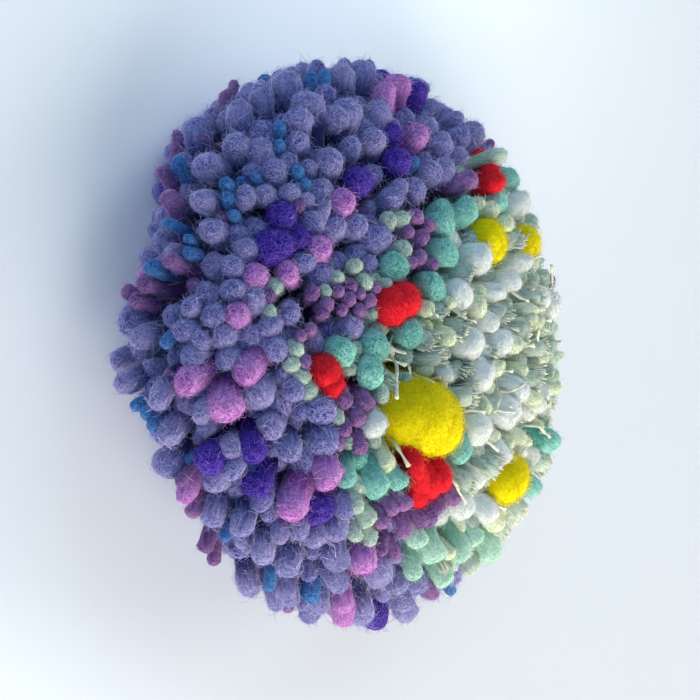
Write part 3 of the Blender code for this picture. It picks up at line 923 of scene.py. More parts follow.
# %% The planting nodes
def build_planting():
    """Puts a master on every point, makes the copies real, and pushes them out of shape with a slow noise."""
    tree, start, end = start_node_group("planting", (
        ("Masters", "NodeSocketCollection"),
        ("Lump height", "NodeSocketFloat"),
        ("Lump size", "NodeSocketFloat"),
    ))
    given = start.outputs
    plant = add_node(tree, "GeometryNodeInstanceOnPoints", {
        "Points": given["Geometry"],
        "Pick Instance": True,
        "Instance": pieces_in(tree, given["Masters"]),
        "Instance Index": named_attribute(tree, "kind", "INT"),
        "Rotation": named_attribute(tree, "turn", "QUATERNION"),
        "Scale": named_attribute(tree, "size", "FLOAT_VECTOR"),
    })
    real = add_node(tree, "GeometryNodeRealizeInstances", {"Geometry": plant.outputs["Instances"]})
    place = add_node(tree, "GeometryNodeInputPosition").outputs["Position"]
    per_metre = add_node(tree, "ShaderNodeMath", {0: 1.0, 1: given["Lump size"]}, operation="DIVIDE")
    lumps = add_node(tree, "ShaderNodeTexNoise", {
        "Vector": place, "Scale": per_metre.outputs[0], "Detail": 1.0,
    })
    centred = add_node(tree, "ShaderNodeVectorMath", {
        0: lumps.outputs["Color"], 1: (0.5, 0.5, 0.5),
    }, operation="SUBTRACT")
    offset = add_node(tree, "ShaderNodeVectorMath", {
        0: centred.outputs["Vector"], "Scale": given["Lump height"],
    }, operation="SCALE")
    move = add_node(tree, "GeometryNodeSetPosition", {
        "Geometry": real.outputs["Geometry"], "Offset": offset.outputs["Vector"],
    })
    tree.links.new(keep_off_wall(tree, move.outputs["Geometry"]), end.inputs["Geometry"])
    return tree


planting = build_planting()


def run_nodes(piece, tree, settings):
    """Puts a node group on a piece, sets its inputs by name and applies it."""
    modifier = piece.modifiers.new(tree.name, "NODES")
    modifier.node_group = tree
    for socket in tree.interface.items_tree:
        if socket.name in settings:
            modifier[socket.identifier] = settings[socket.name]
    deselect_all()
    bpy.context.view_layer.objects.active = piece
    piece.select_set(True)
    bpy.ops.object.modifier_apply(modifier=modifier.name)


# %% Where each finger points
STANDS_UP = {"main": 0.40, "patch": 0.75}       # how much the ends stand straight on the form, not on the tie
COMBED_OUT = 0.15       # how far the ends lie over towards the rim, as a share of their way out
COMBED_DOWN = 0.60      # and how much more they do so low down, where they hang
SAG = np.array((0, 0, -0.08))
LEAN_SHARE = 1.4        # the whole lean, as a multiple of the random lean along each axis
NEAREST_AXIS = 0.3      # an end nearer to the middle than this is combed out by less
ROOT_OFF_WALL = 3.0 * MM
LEAST_FORWARD = 0.02


def off_wall(aims, tips):
    """Lifts the aims that would take a root through the wall."""
    flattest = (-tips[:, 1] - ROOT_OFF_WALL) / FINGER_LENGTH
    aims = np.column_stack((aims[:, 0], aims[:, 1].clip(-flattest, -LEAST_FORWARD), aims[:, 2]))
    return aims / np.linalg.norm(aims, axis=1)[:, None]


def lean(ways, tips, degrees):
    """Combs each direction towards the rim, and down, and tips it a little at random."""
    rim = ways * (1, 0, 1) / np.hypot(ways[:, 0], ways[:, 2])[:, None].clip(NEAREST_AXIS)
    aside = dice.normal(0, math.radians(1) * degrees / LEAN_SHARE, ways.shape)
    combed = (COMBED_OUT + COMBED_DOWN * hanging(ways))[:, None] * rim
    upright = np.where(inside_patch(ways) > 0, STANDS_UP["patch"], STANDS_UP["main"])[:, None]
    leaning = ways * (1 - upright) + facing(ways) * upright + aside + combed + SAG
    return off_wall(leaning / np.linalg.norm(leaning, axis=1)[:, None], tips)


def turns_to(aims):
    """Quaternions that stand a finger's tip along each aim, spun at random about itself."""
    turns = []
    for aim in aims:
        spin = Matrix.Rotation(dice.uniform(0, 2 * math.pi), 3, "Z").to_quaternion()
        turns.append(Vector(aim).to_track_quat("Z", "Y") @ spin)
    return np.array(turns)


print("ends stand up by", STANDS_UP)

# %% Planting one yarn
def plant_ends(name, tips, aims, sizes, masters, lump_height, lump_size):
    """Plants one yarn's ends as one mesh. The sizes are scale factors, one row for each end."""
    mesh = bpy.data.meshes.new(name)
    mesh.from_pydata([tuple(tip) for tip in tips], [], [])
    count = len(tips)
    columns = (
        ("turn", "QUATERNION", "value", turns_to(aims)),
        ("size", "FLOAT_VECTOR", "vector", sizes),
        ("tone", "FLOAT", "value", dice.random(count)),
        ("kind", "INT", "value", dice.integers(0, len(masters.objects), count)),
    )
    for column, data_type, field, values in columns:
        mesh.attributes.new(column, data_type, "POINT").data.foreach_set(field, np.ravel(values))
    piece = bpy.data.objects.new(name, mesh)
    bpy.context.scene.collection.objects.link(piece)
    run_nodes(piece, planting, {"Masters": masters, "Lump height": lump_height, "Lump size": lump_size})
    print(name, count, "ends,", len(piece.data.polygons), "faces")
    return piece

# %% Where the ends of one yarn stand
TRIMMED = 2.4           # how far inside the form the tips stop, in millimetres: the fuzz takes that room
PLACED_STAND_OUT = 0.8  # and every placed end stands clear of its neighbours by this
PLACED_LEAST = 0.3      # how far a placed end may fall short of where its yarn usually ends
STANDS_OUT_AT_RIM = {"periwinkle": 1.5, "blue": 2.0, "lilac": 2.5}      # how far ends stand out there
RIM_STARTS = (60, 72)   # the polar angles, in degrees, between which they come to stand out
BAY_STARTS = (60, 74)   # and between which the bays below begin
RIM_BAYS = (
    # clock, and how far the ends fall short of the form there, next to the wall, in millimetres
    (128, 0), (140, 2), (150, 8), (160, 10), (168, 4), (180, 3), (190, 5), (200, 8), (210, 9), (220, 9),
    (230, 6), (240, 2), (250, 0),
)


def rim_bay(ways):
    """How far the ends fall short of the form, in millimetres, where the rim was trimmed shorter."""
    clocks, depths = zip(*RIM_BAYS)
    depth = np.interp(np.degrees(np.arctan2(ways[:, 2], ways[:, 0])) % 360, clocks, depths)
    return depth * np.interp(np.degrees(np.arccos(-ways[:, 1])), BAY_STARTS, (0, 1))


def tips_of(yarn):
    """Where the ends of one yarn stand, where they point, how thick they are, and which were laid one by one."""
    _, _, out, out_spread, degrees = YARNS[yarn]
    chosen = yarns == yarn
    placed = give[chosen] < 1
    way, half = ways[chosen], halves[chosen]
    stands_out = dice.normal(out, out_spread, len(way))
    stands_out = stands_out.clip(out - 2 * out_spread, out + 2 * out_spread) - TRIMMED
    stands_out = np.where(placed, stands_out.clip(out - PLACED_LEAST) + PLACED_STAND_OUT, stands_out)
    polar = np.degrees(np.arccos(-way[:, 1]))
    at_rim = np.interp(polar, RIM_STARTS, (0, STANDS_OUT_AT_RIM.get(yarn, 0.0)))
    farther = dice.random(len(way)) ** 2 * at_rim
    stands_out = stands_out + np.where(placed, past_by[chosen] / MM, farther - rim_bay(way))
    tips = way * (reach(way) + stands_out * MM)[:, None]
    tips[:, 1] = np.minimum(tips[:, 1], -(half + RIM_CLEARANCE))
    aims = lean(way, tips, degrees)
    laid = ~np.isnan(laid_aims[chosen][:, 0])
    aims[laid] = off_wall(laid_aims[chosen][laid], tips[laid])
    return tips, aims, half, laid


print("the rim's bays are up to", max(depth for _, depth in RIM_BAYS), "mm deep")

# %% Planting the yarns that end in fingers
LENGTHS = (0.88, 1.12)      # how long the planted fingers are, as shares of their master's length
WIDTHS = (0.90, 1.12)       # how much wider they are one way than the other
FINGERS = {
    # yarn: masters, and how high and how wide the lumps of its ends are, in millimetres
    "periwinkle": (soft_fingers, 1.3, 5.0),
    "violet": (soft_fingers, 1.5, 6.0),
    "orchid": (soft_fingers, 1.5, 6.0),
    "blue": (smooth_fingers, 1.0, 4.0),
    "lilac": (thin_fingers, 0.9, 5.0),
    "mint": (felted_fingers, 1.3, 6.0),
    "foam": (felted_fingers, 1.5, 6.0),
    "white": (soft_fingers, 2.2, 6.0),
    "sage": (smooth_fingers, 1.2, 4.5),
    "lime": (smooth_fingers, 1.6, 5.0),
    "cotton": (smooth_fingers, 1.4, 4.5),
}
ENDS = {}
for yarn, (masters, lump_height, lump_size) in FINGERS.items():
    tips, aims, half, _ = tips_of(yarn)
    across = half / MASTER_HALF[masters.name.split(".")[0]]
    flat = dice.uniform(*WIDTHS, len(half))
    along = dice.uniform(*LENGTHS, len(half))
    sizes = np.stack((across * flat, across / flat, along), axis=-1)
    ENDS[yarn] = plant_ends(yarn + "_ends", tips, aims, sizes, masters, lump_height * MM, lump_size * MM)
    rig.ride(ENDS[yarn], "root")

# %% [markdown]
# ## The big felted ends
#
# The yellow and red ends were rolled into firm round buds before they were tied in. Each one is its
# own finger with a half ball for a tip, wider than the others, and it takes the place of its node
# in the frame. Their sizes differ across and up, and a slow noise dents them, because felt
# rolled by hand is never quite round.

# %% The felted ends
FELTED_LENGTH = 26.0 * MM
FELTED_SIDES = 28
FELTED_WANDER = 0.10
FELT_DENTS = {"yellow": 1.3 * MM, "red": 1.8 * MM}
DENT_SIZE = 5.5 * MM
DOME_TURNS = np.radians((88, 72, 56, 41, 27, 14))   # the rings of a half ball, from its widest to its tip
DOME_STARTS = 2.2                           # half thicknesses below the tip, where the body ends
ROOT_RINGS = ((0.10, 0.45), (0.35, 0.74))   # along, and width as a share of the body's
NECK = (0.30, 0.58)                         # its least width, and the share of the body's that it adds


def dome_profile(half, length, body):
    """The rows of a finger whose tip is half a ball. A body under 1 is thinner than the tip."""
    rows = [(along, width * body) for along, width in ROOT_RINGS]
    rows.append((1 - DOME_STARTS * half / length, NECK[0] + NECK[1] * body))
    rows += [(1 - (1 - math.cos(turn)) * half / length, math.sin(turn)) for turn in DOME_TURNS]
    return rows


def model_felted(node, dent):
    """One felted end. Each of its lobes is the same bud, planted at its own size."""
    half, body, _, leans, lobes = FELTED_LOOKS[node]
    half *= MM
    profile = dome_profile(half, FELTED_LENGTH, body)
    rng = random.Random(node)
    bud = model_finger(node + "_bud", profile, half, FELTED_LENGTH, FELTED_SIDES, FELTED_WANDER, rng)
    remember_grain(bud)
    tips = felted_tips(node)
    side, above = felted_sides(node)
    aim = FELTED[node][0] + leans[0] * side + leans[1] * above
    aims = off_wall(np.array([aim / np.linalg.norm(aim)] * len(lobes)), tips)
    sizes = [(size, size, 1.0) for _, _, size in lobes]
    felt = plant_ends(node + "_felt", tips, aims, sizes, put_away([bud], node), dent, DENT_SIZE)
    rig.ride(felt, "root")
    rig.replaces(felt, node)
    return felt


FELTS = {node: model_felted(node, FELT_DENTS[node.split("_")[0]]) for node in FELTED_NODES}

# %% [markdown]
# ## Frayed cotton
#
# The sage cotton has no felt to hold it together, so each cut end opens into a little brush. A brush
# is a bunch of fine threads that start together down in the bundle and stand apart at their tips.
# One thread with three sides is modelled in a few bends, and the brushes are worked out as places
# for it: a flat bunch, turned at random, of threads of uneven length.

# %% Modelling a thread
def model_strand(name, steps, half, end_half, blunt=False):
    """A strand with three sides. Each step is a turn in degrees and then a length in millimetres."""
    deselect_all()
    bpy.ops.mesh.primitive_circle_add(vertices=3, radius=half, fill_type="NGON", rotation=(0, math.pi / 2, 0))
    strand = bpy.context.object
    bpy.ops.object.transform_apply(location=True, rotation=True, scale=True)
    bpy.ops.object.mode_set(mode="EDIT")
    bpy.ops.mesh.select_all(action="SELECT")
    centre, pitch = Vector((0, 0, 0)), 0.0
    shrink = (end_half / half) ** (1 / max(1, len(steps) - 1))
    for turn, length in steps:
        bpy.ops.transform.rotate(value=math.radians(turn), orient_axis="Y", center_override=centre)
        pitch += math.radians(turn)
        new_centre = centre + length * MM * Vector((math.cos(pitch), 0, math.sin(pitch)))
        extrude_to(centre, new_centre, shrink)
        centre = new_centre
    if not blunt:
        bpy.ops.mesh.merge(type="CENTER")
    return leave_edit_mode(strand, name)


def stand_up(strand):
    """Turns a strand that was modelled along X so that it ends at the origin, from below."""
    end = max(strand.data.vertices, key=lambda vertex: vertex.co.x).co.copy()
    strand.location = -end
    bpy.ops.object.transform_apply(location=True, rotation=True, scale=True)
    strand.rotation_euler = (0, -math.pi / 2, 0)
    bpy.ops.object.transform_apply(location=True, rotation=True, scale=True)


THREAD_HALF = 0.20 * MM
THREAD_END_HALF = 0.24 * MM
THREAD_BENDS = {
    "cotton_thread_0": ((0, 5.0), (5, 4.0), (6, 2.0)),
    "cotton_thread_1": ((4, 5.0), (-8, 4.0), (-9, 2.0)),
    "cotton_thread_2": ((-3, 5.0), (8, 4.0), (-6, 2.0)),
}
threads = []
for name, steps in THREAD_BENDS.items():
    thread = model_strand(name, steps, THREAD_HALF, THREAD_END_HALF, blunt=True)
    stand_up(thread)
    remember_grain(thread)
    threads.append(thread)
cotton_threads = put_away(threads, "cotton_thread")
print("a thread has", len(threads[0].data.polygons), "faces")

# %% The brushes of the cotton ends
THREADS_IN_BRUSH = 48
BRUSH_ROOT = 12.0 * MM
BRUSH_OPENS = 0.80              # how wide its tips stand, as a share of the end's half thickness
ROOT_OPENS = 0.30               # and how wide they stand at the root, as a share of that
BRUSH_FLAT = (1.35, 0.75)       # how wide and how flat the bunch is
FAN_FLAT = (1.75, 0.55)         # a brush that was laid over its neighbours opens into a flat fan
BRUSH_STANDS_OUT = 1.2 * MM
THREADS_UNEVEN = 0.45           # the spread of the threads' lengths, in millimetres
BRUSH_ROUNDED = 0.8             # how much shorter the outer threads are, in millimetres
THREAD_SIZES = (0.85, 1.15)


def brush_places(tips, aims, halves, laid):
    """The tip and aim of each thread, for a brush on each end."""
    all_tips, all_aims = [], []
    for tip, aim, half, is_fan in zip(tips, aims, halves, laid):
        side = np.cross(aim, tip if is_fan else dice.normal(size=3))
        side /= np.linalg.norm(side)
        other = np.cross(aim, side)
        wide, flat = FAN_FLAT if is_fan else BRUSH_FLAT
        clock = dice.uniform(0, 2 * math.pi, THREADS_IN_BRUSH)
        out = np.sqrt(dice.random(THREADS_IN_BRUSH)) * half * BRUSH_OPENS
        aside = (out * np.cos(clock) * wide)[:, None] * side + (out * np.sin(clock) * flat)[:, None] * other
        shorter = BRUSH_ROUNDED * (out / half / BRUSH_OPENS) ** 2
        up = (dice.normal(0, THREADS_UNEVEN, THREADS_IN_BRUSH) - shorter) * MM
        spots = tip + aside + up[:, None] * aim
        root = tip - BRUSH_ROOT * aim + ROOT_OPENS * aside
        reach_out = spots - root
        all_tips.append(spots)
        all_aims.append(reach_out / np.linalg.norm(reach_out, axis=1)[:, None])
    return np.concatenate(all_tips), np.concatenate(all_aims)


tips, aims, half, laid = tips_of("cotton")
tips, aims = brush_places(tips + BRUSH_STANDS_OUT * aims, aims, half, laid)
tips[:, 1] = np.minimum(tips[:, 1], -RIM_CLEARANCE)
sizes = np.repeat(dice.uniform(*THREAD_SIZES, (len(tips), 1)), 3, axis=1)
ENDS["brush"] = plant_ends(
    "cotton_brushes", tips, aims, sizes, cotton_threads, lump_height=0.8 * MM, lump_size=3.0 * MM
)
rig.ride(ENDS["brush"], "root")

# %% [markdown]
# ## Twisted threads
#
# Here and there a thin cotton thread, two plies twisted together, pokes out of the patch and lies
# across its neighbours. An oval ring that turns a little with every extrusion gives the twist, and
# the last ring is widened, because the plies part where they were cut.

# %% Modelling a twisted thread
TWINE_HALF = 0.55 * MM
TWINE_SIDES = 6
TWINE_OVAL = 0.55               # its thin side, as a share of its wide one
TWINE_STEP = 1.35 * MM
TWINE_TWIST = math.radians(48)  # of each step
TWINE_PARTS = 1.45              # how much wider the cut end is
TWINE_BENDS = {
    # degrees that each step bends
    "twine_0": (2, 4, 4, -6, -10, -8, 4, 10, 6, 2),
    "twine_1": (-4, -8, 6, 16, 20, 12, 4, -6, -4, 0),
    "twine_2": (6, 2, -8, -14, 4, 24, 16, 2, -4, 2),
}


def model_twine(name, bends):
    """A twisted thread that ends at the origin, from below."""
    deselect_all()
    bpy.ops.mesh.primitive_circle_add(vertices=TWINE_SIDES, radius=TWINE_HALF, fill_type="NGON")
    twine = bpy.context.object
    twine.scale = (1.0, TWINE_OVAL, 1.0)
    bpy.ops.object.transform_apply(location=True, rotation=True, scale=True)
    bpy.ops.object.mode_set(mode="EDIT")
    bpy.ops.mesh.select_all(action="SELECT")
    centre, pitch = Vector((0, 0, 0)), 0.0
    for number, bend in enumerate(bends):
        pitch += math.radians(bend)
        new_centre = centre + TWINE_STEP * Vector((math.sin(pitch), 0, math.cos(pitch)))
        extrude_to(centre, new_centre, TWINE_PARTS if number == len(bends) - 1 else 1.0)
        bpy.ops.transform.rotate(value=TWINE_TWIST, orient_axis="Z", center_override=new_centre)
        centre = new_centre
    leave_edit_mode(twine, name)
    twine.location = -centre
    bpy.ops.object.transform_apply(location=True, rotation=True, scale=True)
    remember_grain(twine)
    return twine


twines = put_away([model_twine(name, bends) for name, bends in TWINE_BENDS.items()], "twine")
print("a twisted thread has", len(twines.objects[0].data.polygons), "faces")

# %% Threads in the patch
TWINE_SPOTS = (
    # across and down of the tip, across and down of the root, and how far it stands out in millimetres
    (388, 393, 392, 366, 4.6), (404, 461, 397, 438, 2.4), (479, 410, 448, 424, 2.0),
    (499, 504, 464, 490, 2.2), (432, 316, 430, 290, 1.8), (462, 313, 440, 310, 1.4),
    (472, 322, 446, 332, 1.4), (506, 370, 474, 360, 1.8), (549, 320, 530, 328, 0.4),
    (542, 300, 530, 318, 0.4), (546, 436, 522, 446, 1.0), (509, 411, 490, 396, 1.4),
    (530, 345, 514, 358, 1.2), (544, 364, 520, 372, 0.6), (484, 346, 468, 330, 1.4),
    (520, 384, 500, 392, 1.2), (494, 448, 470, 446, 1.4), (532, 410, 512, 420, 0.8),
    (524, 302, 508, 310, 1.2), (462, 500, 442, 484, 1.4), (514, 330, 496, 322, 1.4),
    (480, 474, 462, 456, 1.4),
)
MORE_TWINES = 22                # at random places, besides those
TWINE_TRIES = 900
TWINE_OUT = (0.0, 1.6)          # how far those stand out, in millimetres
TWINE_LEAN = 34
TWINE_SIZES = (0.75, 1.05)
LEAST_FORWARD_TWINE = 0.50      # how far its direction points to the front, so that none hangs over the rim
THICK = 3.3 * MM                # an end with more than this for half its thickness is a thick one
CLEAR_OF_THICK = 1.2 * MM       # the other threads come out between the thick ends, at least this far away


def between_thick_ends(spots):
    """True for directions that come out between the thick ends."""
    thick = halves > THICK
    apart = spots[:, None] * reach(spots)[:, None, None] - (ways[thick] * reach(ways[thick])[:, None])[None]
    return (np.linalg.norm(apart, axis=2) - halves[thick]).min(axis=1) > CLEAR_OF_THICK


spots = np.array([seen_at(across, down) for across, down, *_ in TWINE_SPOTS])
aims = np.array([aim_between(row[:2], row[2:4]) for row in TWINE_SPOTS])
out = np.array([stands_out for *_, stands_out in TWINE_SPOTS]) * MM
more = random_ways(TWINE_TRIES)
in_patch = inside_patch(more) > 2 * EDGE_BAND
more = more[in_patch & between_thick_ends(more) & (more[:, 1] < -LEAST_FORWARD_TWINE)][:MORE_TWINES]
out = np.concatenate((out, dice.uniform(*TWINE_OUT, len(more)) * MM))
twine_tips = np.concatenate((spots, more))
twine_tips = twine_tips * (reach(twine_tips) + out)[:, None]
more_aims = lean(more, more * reach(more)[:, None], TWINE_LEAN)
twine_aims = np.concatenate((off_wall(aims, twine_tips[: len(aims)]), more_aims))
twine_sizes = np.repeat(dice.uniform(*TWINE_SIZES, (len(twine_tips), 1)), 3, axis=1)
ENDS["twine"] = plant_ends(
    "twisted_threads", twine_tips, twine_aims, twine_sizes, twines, lump_height=0.6 * MM, lump_size=4.0 * MM
)
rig.ride(ENDS["twine"], "root")

# %% [markdown]
# ## The back
#
# Against the wall the strands lie flat, side by side, from the tie out to the rim. They are the soft
# fingers again, longer, planted in a ring with their tips at the rim of the back.

# %% Strands that lie against the wall
BACK_TIP = ((0.06, 0.45), (0.35, 0.72), (0.75, 0.95), (0.92, 1.0), (0.97, 0.84), (0.99, 0.5))
BACK_LENGTH = 58.0 * MM
BACK_STRANDS = 84
BACK_POLAR = 86.0               # the polar angle that their tips are at, in degrees
BACK_HALVES = (2.7, 3.4)        # half their thickness, in millimetres
BACK_SHARE_OF_BAYS = 0.7        # they follow the rim's bays by this much
BACK_SPACING = (-1.2, 1.2)      # how far they stand off even places round the clock, in degrees
BACK_OUT = (-3.0, 1.0)          # how far their tips stand out of the form, in millimetres
BACK_CLEAR = 0.9                # their middle's distance from the wall, as a share of half their thickness
BACK_OFF_WALL = (0, 1.2)        # how much further off the wall they are, in millimetres
BACK_STRAY = 0.04               # how far their aims stray to either side
BACK_LENGTHS = (0.92, 1.08)     # their length, as a share of BACK_LENGTH
back_fingers = model_variants(
    "back_finger", BACK_TIP, FINGER_HALF, BACK_LENGTH, sides=10, wander=0.5, count=3
)
clock = np.arange(BACK_STRANDS) * 360 / BACK_STRANDS + dice.uniform(*BACK_SPACING, BACK_STRANDS)
back_ways = direction(clock, BACK_POLAR)
back_out = dice.uniform(*BACK_OUT, BACK_STRANDS) - BACK_SHARE_OF_BAYS * rim_bay(back_ways)
back_tips = back_ways * (reach(back_ways) + back_out * MM)[:, None]
back_half = dice.uniform(*BACK_HALVES, BACK_STRANDS) * MM
back_tips[:, 1] = -back_half * BACK_CLEAR - dice.uniform(*BACK_OFF_WALL, BACK_STRANDS) * MM
back_aims = direction(clock, 90.0) + dice.normal(0, BACK_STRAY, (BACK_STRANDS, 3)) * (1, 0, 1)
back_wide = back_half / FINGER_HALF
back_sizes = np.stack((back_wide, back_wide, dice.uniform(*BACK_LENGTHS, BACK_STRANDS)), axis=-1)
ENDS["back"] = plant_ends(
    "back_strands", back_tips, back_aims, back_sizes, back_fingers, lump_height=1.2 * MM, lump_size=9.0 * MM
)
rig.ride(ENDS["back"], "root")

# %% [markdown]
# ## Loose fibres
#
# What makes wool look like wool is its fuzz: fine fibres that curl round each cut end, and a few
# that stray. They are modelled as a handful of curved needles with three sides: wraps, which follow
# the round of an end, short strays that stand up, and long ones that fly off. Geometry Nodes
# scatters them over each yarn's tips, stood on the surface and spun at random, and gives each one
# a shade of its own. Where the ends hang, more of their sides shows, so the fuzz reaches further down.

# %% The fibres
FIBRE_HALF = 0.054 * MM
FIBRE_END_HALF = 0.6 * FIBRE_HALF
WRAPS = {
    # each fibre is given as a turn in degrees and then a length in millimetres, step by step
    "wrap_0": ((16, 1.9), (-32, 2.0)),
    "wrap_1": ((8, 2.4), (-34, 2.4)),
    "wrap_2": ((14, 1.8), (-40, 2.2)),
    "stray_0": ((40, 1.5), (-34, 1.5)),
    "short_0": ((28, 1.6),),
    "short_1": ((44, 1.4),),
    "short_2": ((18, 1.9),),
    "short_3": ((58, 1.2),),
    "short_4": ((34, 1.7),),
    "short_5": ((24, 2.1),),
    "short_6": ((50, 1.7),),
}
NAP = {
    "nap_0": ((50, 1.2), (-34, 1.2)),
    "nap_1": ((34, 1.3), (-26, 1.4)),
    "nap_2": ((46, 1.5),),
    "nap_3": ((26, 1.8),),
    "nap_4": ((62, 1.3),),
    "nap_5": ((34, 1.6),),
}


def model_fibres(rows, name):
    """A collection of fibres, one for each row."""
    fibres = [model_strand(key, steps, FIBRE_HALF, FIBRE_END_HALF) for key, steps in rows.items()]
    return put_away(fibres, name)


wrap_fibres = model_fibres(WRAPS, "wrap_fibres")
nap_fibres = model_fibres(NAP, "nap_fibres")
print("fibres:", len(wrap_fibres.objects), "that wrap,", len(nap_fibres.objects), "of nap")

# %% The scattering nodes
FUZZ_ON_HANGING = {
    # between these two heights the fuzz comes to reach further down, by this many millimetres
    "From Min": -20.0 * MM, "From Max": -55.0 * MM, "To Min": 0.0, "To Max": -4.5,
}
PER_SQUARE_METRE = 1e6          # square millimetres
FIBRE_TIPS = 0.15               # how far a fibre tips over, in radians, either way
FIBRE_NUMBERS = 11              # drawn from 0 to this. Past a collection's end they start again at its first
SHADE_SEED = 7
RANDOM_SOCKETS = {
    # kind: the inputs for the least and the most, and the output
    "FLOAT_VECTOR": (0, 1, 0), "FLOAT": (2, 3, 1), "INT": (4, 5, 2),
}


def random_value(tree, kind, least, most, seed):
    """A value that is drawn anew for each point."""
    low, high, out = RANDOM_SOCKETS[kind]
    node = add_node(tree, "FunctionNodeRandomValue", {low: least, high: most, "Seed": seed}, data_type=kind)
    return node.outputs[out]


def build_fuzz():
    """Scatters fibres over the tips of a yarn, each turned, sized and shaded at random."""
    tree, start, end = start_node_group("fuzz", (
        ("Fibres", "NodeSocketCollection"),
        ("Fibres per mm2", "NodeSocketFloat"),
        ("How far down", "NodeSocketFloat"),
        ("Smallest", "NodeSocketFloat"),
        ("Largest", "NodeSocketFloat"),
        ("Seed", "NodeSocketInt"),
    ))
    given = start.outputs
    seed = given["Seed"]

    def maths(operation, first, second):
        return add_node(tree, "ShaderNodeMath", {0: first, 1: second}, operation=operation).outputs[0]

    on_finger = add_node(tree, "ShaderNodeSeparateXYZ", {0: named_attribute(tree, "grain", "FLOAT_VECTOR")})
    place = add_node(tree, "GeometryNodeInputPosition").outputs["Position"]
    height = add_node(tree, "ShaderNodeSeparateXYZ", {0: place}).outputs["Z"]
    further = add_node(tree, "ShaderNodeMapRange", {"Value": height, **FUZZ_ON_HANGING}).outputs["Result"]
    near_tip = add_node(
        tree, "FunctionNodeCompare",
        {0: on_finger.outputs["Z"], 1: maths("ADD", given["How far down"], further)},
        data_type="FLOAT", operation="GREATER_THAN",
    )
    scatter = add_node(tree, "GeometryNodeDistributePointsOnFaces", {
        "Mesh": given["Geometry"],
        "Selection": near_tip.outputs["Result"],
        "Density": maths("MULTIPLY", given["Fibres per mm2"], PER_SQUARE_METRE),
        "Seed": seed,
    }, distribute_method="RANDOM")
    least = (-FIBRE_TIPS, -FIBRE_TIPS, -math.pi)
    most = (FIBRE_TIPS, FIBRE_TIPS, math.pi)
    turn = add_node(tree, "FunctionNodeRotateRotation", {
        "Rotation": scatter.outputs["Rotation"],
        "Rotate By": random_value(tree, "FLOAT_VECTOR", least, most, seed),
    }, rotation_space="LOCAL")
    grow = add_node(tree, "GeometryNodeInstanceOnPoints", {
        "Points": scatter.outputs["Points"],
        "Pick Instance": True,
        "Instance": pieces_in(tree, given["Fibres"]),
        "Instance Index": random_value(tree, "INT", 0, FIBRE_NUMBERS, seed),
        "Rotation": turn.outputs["Rotation"],
        "Scale": random_value(tree, "FLOAT", given["Smallest"], given["Largest"], seed),
    })
    keep = add_node(tree, "GeometryNodeStoreNamedAttribute", {
        "Geometry": grow.outputs["Instances"],
        "Name": "shade",
        "Value": random_value(tree, "FLOAT", 0.0, 1.0, SHADE_SEED),
    }, data_type="FLOAT", domain="INSTANCE")
    real = add_node(tree, "GeometryNodeRealizeInstances", {"Geometry": keep.outputs["Geometry"]})
    tree.links.new(keep_off_wall(tree, real.outputs["Geometry"]), end.inputs["Geometry"])
    return tree


scattering = build_fuzz()
print("the fuzz has", len(scattering.nodes), "nodes")

# %% Growing the fuzz of one piece
def grow_fuzz(piece, name, masters, per_mm2, down, smallest, largest, seed):
    """Covers the tips of one piece with loose fibres, as a piece of their own."""
    fuzz = piece.copy()
    fuzz.data = piece.data.copy()
    fuzz.name = name
    bpy.context.scene.collection.objects.link(fuzz)
    run_nodes(fuzz, scattering, {
        "Fibres": masters, "Fibres per mm2": per_mm2, "How far down": down,
        "Smallest": smallest, "Largest": largest, "Seed": seed,
    })
    bpy.ops.object.shade_smooth()
    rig.ride(fuzz, "root")
    triangles = sum(len(face.vertices) - 2 for face in fuzz.data.polygons)
    print(name, triangles, "triangles")
    return fuzz

# %% Fuzz on every yarn
FUZZ = {
    # yarn: fibres, number per square millimetre, how far down in millimetres, smallest, largest, pieces
    "periwinkle": (wrap_fibres, 0.288, -8.5, 0.6, 1.45, 3),
    "violet": (wrap_fibres, 0.85, -8.5, 0.6, 1.35, 1),
    "orchid": (wrap_fibres, 0.90, -8.5, 0.6, 1.35, 1),
    "blue": (nap_fibres, 0.60, -7.0, 0.6, 1.3, 1),
    "lilac": (nap_fibres, 0.70, -7.0, 0.5, 1.1, 1),
    "mint": (nap_fibres, 1.00, -8.0, 0.6, 1.2, 1),
    "foam": (nap_fibres, 1.00, -8.0, 0.6, 1.2, 1),
    "white": (wrap_fibres, 1.25, -8.5, 0.6, 1.2, 1),
    "sage": (nap_fibres, 0.85, -6.0, 0.6, 1.25, 1),
    "lime": (nap_fibres, 0.75, -6.0, 0.6, 1.2, 1),
}
fuzz_of = {}
for yarn, (masters, per_mm2, down, smallest, largest, pieces) in FUZZ.items():
    fuzz_of[yarn] = [
        grow_fuzz(ENDS[yarn], f"{yarn}_fuzz_{number}", masters, per_mm2, down, smallest, largest, number + 1)
        for number in range(pieces)
    ]
FELT_FUZZ_DOWN = -12.0
FELT_FUZZ = {
    # name's ending, fibres, number per square millimetre, smallest, largest and seed, for the short nap
    # on a felted end and for the few long fibres round it
    "yellow": (("_fuzz", nap_fibres, 1.9, 0.6, 1.35, 3), ("_halo", wrap_fibres, 0.45, 0.5, 1.1, 4)),
    "red": (("_fuzz", nap_fibres, 1.9, 0.6, 1.1, 3), ("_halo", wrap_fibres, 0.45, 0.5, 1.1, 4)),
}
for node, felt in FELTS.items():
    fuzz_of[node] = [
        grow_fuzz(felt, node + ending, masters, per_mm2, FELT_FUZZ_DOWN, smallest, largest, seed)
        for ending, masters, per_mm2, smallest, largest, seed in FELT_FUZZ[node.split("_")[0]]
    ]
